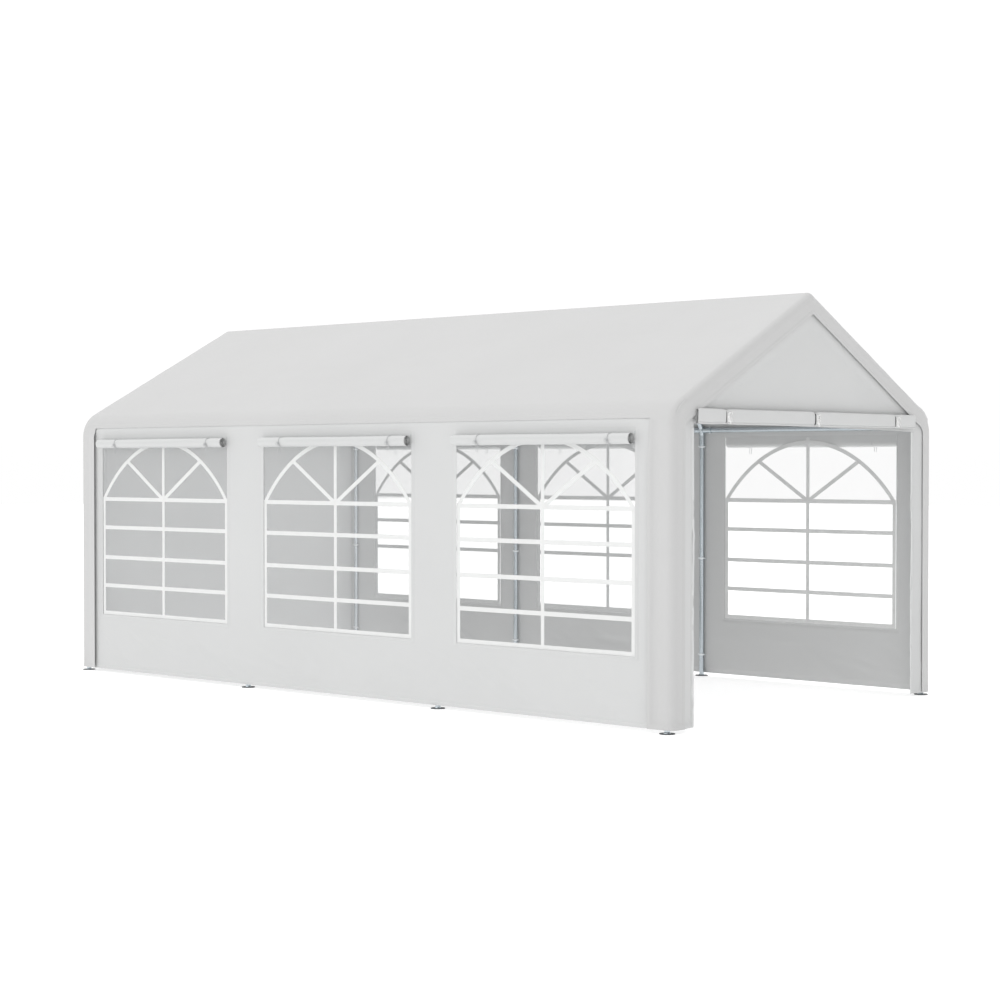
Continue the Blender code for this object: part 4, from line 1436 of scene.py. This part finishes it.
# %% Rear door
ZIP_TAPE_W = 0.026
ZIP_TAPE_T = 0.0010
ZIP_COIL_R = 0.0026
ZIP_LOW_Z = HEM_Z + 0.002
ZIP_STEPS = 40
SLIDER_Z = (0.012, 0.030)  # from its foot to its top, above the zip's lower end
SLIDER_OUT = 0.0035
PULL_OUT = 0.0070
PULL_TOP = 0.020
PULL_L = 0.030
DOOR_SWELL = 0.0020
DOOR_FLUTTER = 0.0022
DOOR_FLUTTER_PITCH = 0.47
DOOR_GAP = 0.0005  # between the door's edge and the doorway's
DOOR_CALM = 0.7  # the door's relief, as a share of what its waves and creases add up to


def rear_door_patch():
    """The door's sheet: two broad swells, a flutter at the hem and a few creases."""
    y = stations([-DOOR_HALF + DOOR_GAP, 0, DOOR_HALF - DOOR_GAP], PANEL_STEP)[::-1]
    z = stations([*HEM_MARKS, DOOR_TOP_Z - DOOR_GAP], 0.04)
    grid_y, grid_z = np.meshgrid(y, z)
    edge = smooth_step((DOOR_HALF - np.abs(grid_y)) / 0.12) * smooth_step((DOOR_TOP_Z - grid_z) / 0.1)
    swell = DOOR_SWELL * np.sin(pi * grid_y / DOOR_HALF) ** 2
    flutter = DOOR_FLUTTER * np.sin(2 * pi * grid_y / DOOR_FLUTTER_PITCH)
    flutter = flutter * smooth_step((0.5 - grid_z) / 0.5)
    fold = creases(grid_y, grid_z, 29, 0.05, 1.2, 0.4)
    hem = END_PROUD * (grid_z < HEM_EDGE_Z)
    out = PANEL_X - 0.0030 + (swell + flutter + fold) * edge * DOOR_CALM + hem
    return grid_patch(np.stack([MIDDLE_X - out, grid_y, grid_z], -1), y, z)


def zip_patches(y):
    """A zip down one side of the rear doorway: its tape, and its coil, slider and pull."""
    z = np.linspace(ZIP_LOW_Z, DOOR_TOP_Z - 0.01, ZIP_STEPS)
    x = MIDDLE_X - PANEL_X - 0.0002
    line = np.stack([np.full_like(z, x), np.full_like(z, y), z], -1)
    coil = line - (0.0012, 0, 0)
    tape = sweep(line, flat_bar(ZIP_TAPE_T, ZIP_TAPE_W), (0, 1, 0))
    body = [(x - SLIDER_OUT, y, ZIP_LOW_Z + height) for height in np.linspace(*SLIDER_Z, 7)]
    slider = sweep(body, flat_bar(0.006, 0.012, 0.5), (0, 1, 0),
                   sizes=[0.55, 0.85, 1, 1, 0.95, 0.8, 0.5])
    t = np.linspace(0, 1, 8)
    pull = np.stack([x - PULL_OUT - 0.001 * np.sin(pi * t), y + 0 * t,
                     ZIP_LOW_Z + PULL_TOP - PULL_L * t], -1)
    return tape, [sweep(coil, circle(ZIP_COIL_R, 10), (0, 1, 0)), slider,
                  sweep(pull, flat_bar(0.0015, 0.007, 0.5), (0, 1, 0))]


rear_door = add_piece("rear_door_sheet", [rear_door_patch()], wall_cloth,
                      ["rear_door"], CLOTH_T)
tapes, coils = [], []
for side in (-1, 1):
    tape, coil = zip_patches(side * DOOR_HALF)
    tapes.append(tape)
    coils += coil
rear_tapes = add_piece("rear_zip_tapes", tapes, hem_tape)
rear_zips = add_piece("rear_zips", coils, zip_coil)
print("rear door:", len(rear_door.data.polygons))

# %% [markdown]
# ## The rolled-up door
# The open end's door is rolled flat and tied three times under the gable. It is the door's
# own sheet again, on a flattened spiral: a circle whose cosine and sine are raised to a small
# power has flat faces and soft corners. At each tie a cord squeezes the roll into a notch,
# and a bow of tape sits beside it. The cord is near black, which is painted shade: it stands
# for the shadow in the notch's crease.

# %% Door roll
DOOR_TURN_SPACING = 0.00125
DOOR_TURNS = 8.5
DOOR_TIES = (-0.992, 0.0, 0.988)
DOOR_SLIP = 0.030
DOOR_PINCH_Z = 0.0160
DOOR_PINCH_X = 0.0060
NOTCH_W = 0.013  # widths of a tie's notch, of the crease in its middle and of its tug
CREASE_AT_TIE_W = 0.0070
TUG_W = 0.060
TUG = 0.002
DOOR_TRIM = (0.0012, 0.0010)  # taken off the roll's half depth and half height
DOOR_END_W = 0.03  # its ends thin over this length, by as much as the next value
DOOR_END_THIN = 0.004
FOLD_AT = -0.80  # a fold runs along the roll's face near its lower edge
FOLD_W = 0.05
FOLD_DEPTH = 0.005
DOOR_CLOTH_T = 0.0006
SQUARENESS = 0.42
door_low, door_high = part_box("door_roll")
DOOR_ROLL_BACK = MIDDLE_X + COVER_END + 0.0009
door_half_x = (door_high.x - DOOR_ROLL_BACK) / 2
door_half_z = (door_high.z - door_low.z) / 2
door_mid_x = door_high.x - door_half_x
door_mid_z = (door_high.z + door_low.z) / 2


def soft_square(angle, power):
    """cos and sin of the angle, raised to a power but with their own signs."""
    c, s = np.cos(angle), np.sin(angle)
    return np.sign(c) * np.abs(c) ** power, np.sign(s) * np.abs(s) ** power


def door_roll_patch():
    """The rolled door: from its lower face up the back, over the top, down the front, and
    on round and in on the flat spiral."""
    y = tie_columns(door_low.y, door_high.y, DOOR_TIES, 0.030, 40)
    angle = turn_angles(2 * pi * DOOR_TURNS, 64, 28)[:, None]
    c, s = soft_square(-angle - pi / 2, SQUARENESS)
    shrink = DOOR_TURN_SPACING * angle / (2 * pi)
    notch = pinch(y, DOOR_TIES, NOTCH_W)
    crease = pinch(y, DOOR_TIES, CREASE_AT_TIE_W)
    tug = pinch(y, DOOR_TIES, TUG_W)
    soft = 0.0008 * np.sin(5.1 * y + 1.7 * s) + 0.0005 * np.sin(17 * y + 3 * angle)
    full_x = door_half_x - DOOR_TRIM[0]
    half_x = (full_x - shrink) * (1 - DOOR_PINCH_X * crease / full_x)
    half_z = door_half_z - DOOR_TRIM[1] - shrink - DOOR_PINCH_Z * notch - TUG * tug
    inner = np.clip(1 - angle / angle[-1], 0, 1)
    half_w = (y[-1] - y[0]) / 2
    end = np.maximum(np.abs(y - y.mean()) - half_w + DOOR_END_W, 0) / DOOR_END_W
    half_z = half_z - DOOR_END_THIN * end**2
    middle_y = (y[0] + y[-1]) / 2
    grid_y = middle_y + (y - middle_y) * (1 - slipped(angle, DOOR_SLIP, 1.0) / half_w)
    fold = FOLD_DEPTH * np.exp(-((s - FOLD_AT) / FOLD_W) ** 2) * (c > 0)
    x = door_mid_x + c * half_x + soft * inner - fold * (1 - crease)
    z = door_mid_z + s * half_z + 0.6 * soft * inner
    points = np.stack([x, grid_y, z], -1)
    along = distances(np.column_stack([c * door_half_x, s * door_half_z]))
    return grid_patch(points, y, along), along[-1]


# %% Ties of the door roll
CORD_R = 0.0036
STRAP_T = 0.0012
DOOR_BOW = 0.032
DOOR_BOW_SPREAD = 0.0090
DOOR_BOW_LEAN = (14, 24)  # degrees
BOW_RIBBON_W = 0.020
BOW_BESIDE = 0.016
DOOR_KNOT_HALF = np.array([0, 0.0085, 0.002])
DOOR_TAIL = 0.040
DOOR_TAIL_W = 0.011


def door_shade_cord(y):
    """The cord of one tie, round the roll in its notch; its near black is painted shade for the
    crease.
    """
    angle = np.linspace(0, 2 * pi, 72, endpoint=False)
    c, s = soft_square(angle, SQUARENESS)
    hoop = np.stack([door_mid_x + c * (door_half_x - DOOR_PINCH_X + 0.0020), y + 0 * c,
                     door_mid_z + s * (door_half_z - DOOR_PINCH_Z + 0.0012)], -1)
    return sweep(hoop, circle(CORD_R, 10), (0, 1, 0), closed=True)


def door_bow(y, seed):
    """The knot and the bow of white tape beside one tie, with its two ends."""
    chance = np.random.default_rng(seed)
    front = door_mid_x + door_half_x + 0.0010
    knot = np.array([front, y + BOW_BESIDE, door_mid_z - 0.002])
    share = np.linspace(-1, 1, 9)
    patches = [sweep(knot + share[:, None] * DOOR_KNOT_HALF, flat_bar(0.012, 0.018, 0.7),
                     (0, 0, 1), sizes=np.sqrt(1.05 - share**2))]
    for way in (-1, 1):
        loop = petal(DOOR_BOW * chance.uniform(0.9, 1.05), DOOR_BOW_SPREAD)
        lean = radians(chance.uniform(*DOOR_BOW_LEAN))
        dz = way * (loop[:, 0] * cos(lean)) - loop[:, 1] * sin(lean)
        dy = loop[:, 0] * sin(lean) + way * loop[:, 1] * cos(lean)
        dx = 0.0065 * np.sin(np.linspace(0, pi, len(loop)))
        path = knot + np.stack([dx, dy, dz], -1)
        patches.append(sweep(path, flat_bar(STRAP_T, BOW_RIBBON_W), (1, 0, 0)))
        t = np.linspace(0, 1, 12)
        length = DOOR_TAIL * chance.uniform(0.8, 1.1)
        tail = np.stack([0.002 * np.sin(pi * t), 0.006 + 0.012 * t + way * 0.006 * t,
                         -length * t - 0.004 * way * t], -1)
        patches.append(sweep(knot + tail, flat_bar(STRAP_T, DOOR_TAIL_W), (1, 0, 0)))
    return patches


door_patch, rolled_length = door_roll_patch()
rolled_door = add_piece("rolled_door", [door_patch], wall_cloth,
                        ["door_roll"], DOOR_CLOTH_T)
door_ties = add_piece("door_ties", [patch for seed, place in enumerate(DOOR_TIES)
                                    for patch in door_bow(place, seed + 41)],
                      tie_tape)
# The ties' cords are near black as painted shade for the shadow in each tie's crease.
door_shade_cords = add_piece("door_shade_cords", [door_shade_cord(place) for place in DOOR_TIES], painted_shade_cord)
print("rolled length of the door:", round(float(rolled_length), 2))

# %% Zips of the open doorway
OPEN_TAPE_W = 0.014  # the half of the tape that stays on the margin
OPEN_COIL_R = 0.0018
OPEN_ZIP_IN = 0.0075  # from the tape's middle to the coil at the doorway's edge

tapes, coils = [], []
for side in (-1, 1):
    y = side * (DOOR_HALF + OPEN_ZIP_IN)
    z = np.linspace(ZIP_LOW_Z, DOOR_TOP_Z - 0.004, ZIP_STEPS)
    out = SHEET_X + panel_relief(np.full_like(z, y), z, 12) + END_PROUD + SKIN
    line = np.stack([MIDDLE_X + out, np.full_like(z, y), z], -1)
    tapes.append(sweep(line, flat_bar(ZIP_TAPE_T, OPEN_TAPE_W), (0, 1, 0)))
    coils.append(sweep(line - (0, side * OPEN_ZIP_IN, 0), circle(OPEN_COIL_R, 10), (0, 1, 0)))
add_piece("open_zip_tapes", tapes, hem_tape)
add_piece("open_zip_coils", coils, zip_coil)
print("zips of the open doorway:", len(tapes))

# %% [markdown]
# ## Stitches
# The hems that catch the eye are sewn with a white thread. From close by the stitches are
# short raised dashes, and from afar they turn an edge into a fine dotted line. A dash is a
# box of eight corners, and one broadcast makes all the boxes of a seam: centres along the
# line, plus the corners.

# %% Stitches
STITCH_PITCH = 0.0085
STITCH_SIZE = (0.0050, 0.0009, 0.0006)
BOX_CORNERS = np.array([(i, j, k) for k in (-1, 1) for j in (-1, 1) for i in (-1, 1)]) / 2
BOX_FACES = np.array([(0, 2, 3, 1), (4, 5, 7, 6), (0, 1, 5, 4), (2, 6, 7, 3), (0, 4, 6, 2),
                      (1, 3, 7, 5)])


def seam_patch(line, normal):
    """Dashes along a line of surface points: each box lies along the line, as high as its
    thickness off the surface, whose outward direction is the normal."""
    line = np.asarray(line, float)
    along = distances(line)
    place = np.arange(STITCH_PITCH, along[-1] - STITCH_PITCH, STITCH_PITCH)
    centre = np.stack([np.interp(place, along, line[:, axis]) for axis in range(3)], -1)
    normals = np.broadcast_to(normal, line.shape)
    up = np.stack([np.interp(place, along, normals[:, axis]) for axis in range(3)], -1)
    up = up / np.linalg.norm(up, axis=1, keepdims=True)
    run = np.gradient(centre, axis=0)
    run = run - up * (run * up).sum(1, keepdims=True)
    run = run / np.linalg.norm(run, axis=1, keepdims=True)
    axes = np.stack([run, np.cross(up, run), up], 1)
    reach = (BOX_CORNERS * STITCH_SIZE) @ axes
    points = (centre[:, None] + reach).reshape(-1, 3)
    quads = (8 * np.arange(len(centre))[:, None, None] + BOX_FACES).reshape(-1, 4)
    uv = np.broadcast_to((BOX_CORNERS * STITCH_SIZE)[BOX_FACES][..., :2],
                         (len(centre), 6, 4, 2)).reshape(-1, 4, 2)
    return points, [(quads, uv)]


# %% Stitches of the cover
def cover_seams():
    """The band's inner hem at both ends, the eave's hem and the hems of the leg covers."""
    patches = []
    for column in np.flatnonzero(column_share == BAND_STITCHES):
        patches.append(seam_patch(cover_points[:, column], (np.sign(column_x[column]), 0, 0)))
    hem_rows = len(legs) + np.flatnonzero(bends > hem_angle + 0.5 * hem_turn)[:1]
    inside = np.abs(column_x) < LEG_COVER_X
    angle = bends[hem_rows[0] - len(legs)]
    for side, row in ((-1, hem_rows[0]), (1, len(cover_points) - 1 - hem_rows[0])):
        patches.append(seam_patch(cover_points[row, inside], (0, side * cos(angle), sin(angle))))
        low = cover_points[..., 2].max(1) < EAVE_HEM_Z
        half = np.arange(len(cover_points)) < len(depth)
        rows = np.flatnonzero(low & (half if side < 0 else ~half))
        edges = np.flatnonzero(np.abs(np.abs(column_x) - LEG_COVER_X - HEM_W) < 1e-6)
        patches += [seam_patch(cover_points[rows, edge], (0, side, 0)) for edge in edges]
    return patches


# %% Stitches of the walls and ends
def wall_seams(word, side, seed):
    """The wall's bottom hem, and a line below and on both sides of each window."""
    def on_wall(x, z):
        x, z = np.broadcast_arrays(np.asarray(x, float), np.asarray(z, float))
        y = WALL_OUT_Y + wall_relief(x, z, seed) + PROUD
        return np.stack([x, side * y, z], -1)

    hem_x = np.linspace(MIDDLE_X - WALL_END_X + 0.01, MIDDLE_X + WALL_END_X - 0.01, 260)
    patches = [seam_patch(on_wall(hem_x, HEM_Z + 0.8 * HEM_W), (0, side, 0))]
    lap = 0.7 * WELT_W
    heights = np.linspace(WINDOW_BOTTOM_Z - lap, ROLL_SEAM_Z, 60)
    for middle in window_middles(word):
        low, high = middle - WINDOW_W / 2 - lap, middle + WINDOW_W / 2 + lap
        lines = [on_wall(np.linspace(low, high, 70), WINDOW_BOTTOM_Z - lap),
                 on_wall(low, heights), on_wall(high, heights)]
        patches += [seam_patch(line, (0, side, 0)) for line in lines]
    return patches


def end_seams(way, seed):
    """The header's hem and the margins' hems beside the doorway."""
    def on_panel(y, z):
        y, z = np.broadcast_arrays(np.asarray(y, float), np.asarray(z, float))
        x = SHEET_X + panel_relief(y, z, seed) + END_PROUD + panel_swell(y, z, way)
        return np.stack([MIDDLE_X + way * x, y, z], -1)

    y = np.linspace(-DOOR_HALF - HEM_W, DOOR_HALF + HEM_W, 80)
    lines = [on_panel(y, DOOR_TOP_Z + header_rise(y, way) + 0.8 * HEM_W)]
    for side in (-1, 1):
        lines.append(on_panel(side * (DOOR_HALF + 0.8 * HEM_W),
                              np.linspace(HEM_Z, DOOR_TOP_Z, 50)))
    return [seam_patch(line, (way, 0, 0)) for line in lines]


thread = ribbed_material("sewing_thread", (0.80, 0.805, 0.80), 0.6, 0.001, 0.0001)
cover_stitches = add_piece("cover_stitches", cover_seams(), thread)
wall_stitches = {word: add_piece(f"wall_stitches_{word}", wall_seams(word, side, seed + 3),
                                 thread)
                 for seed, (word, side) in enumerate(SIDES)}
end_stitches = {word: add_piece(f"end_stitches_{word}", end_seams(way, 11 + way), thread)
                for word, way in ENDS}
print("stitches:", sum(count for name, count in tally.items() if "stitches" in name) // 6)

# %% [markdown]

# %% [markdown]
# ## Finish
# The last line prints how many pieces there are and how many faces they have.

# %% Finish
print("pieces:", len(tally), "faces:", sum(tally.values()))
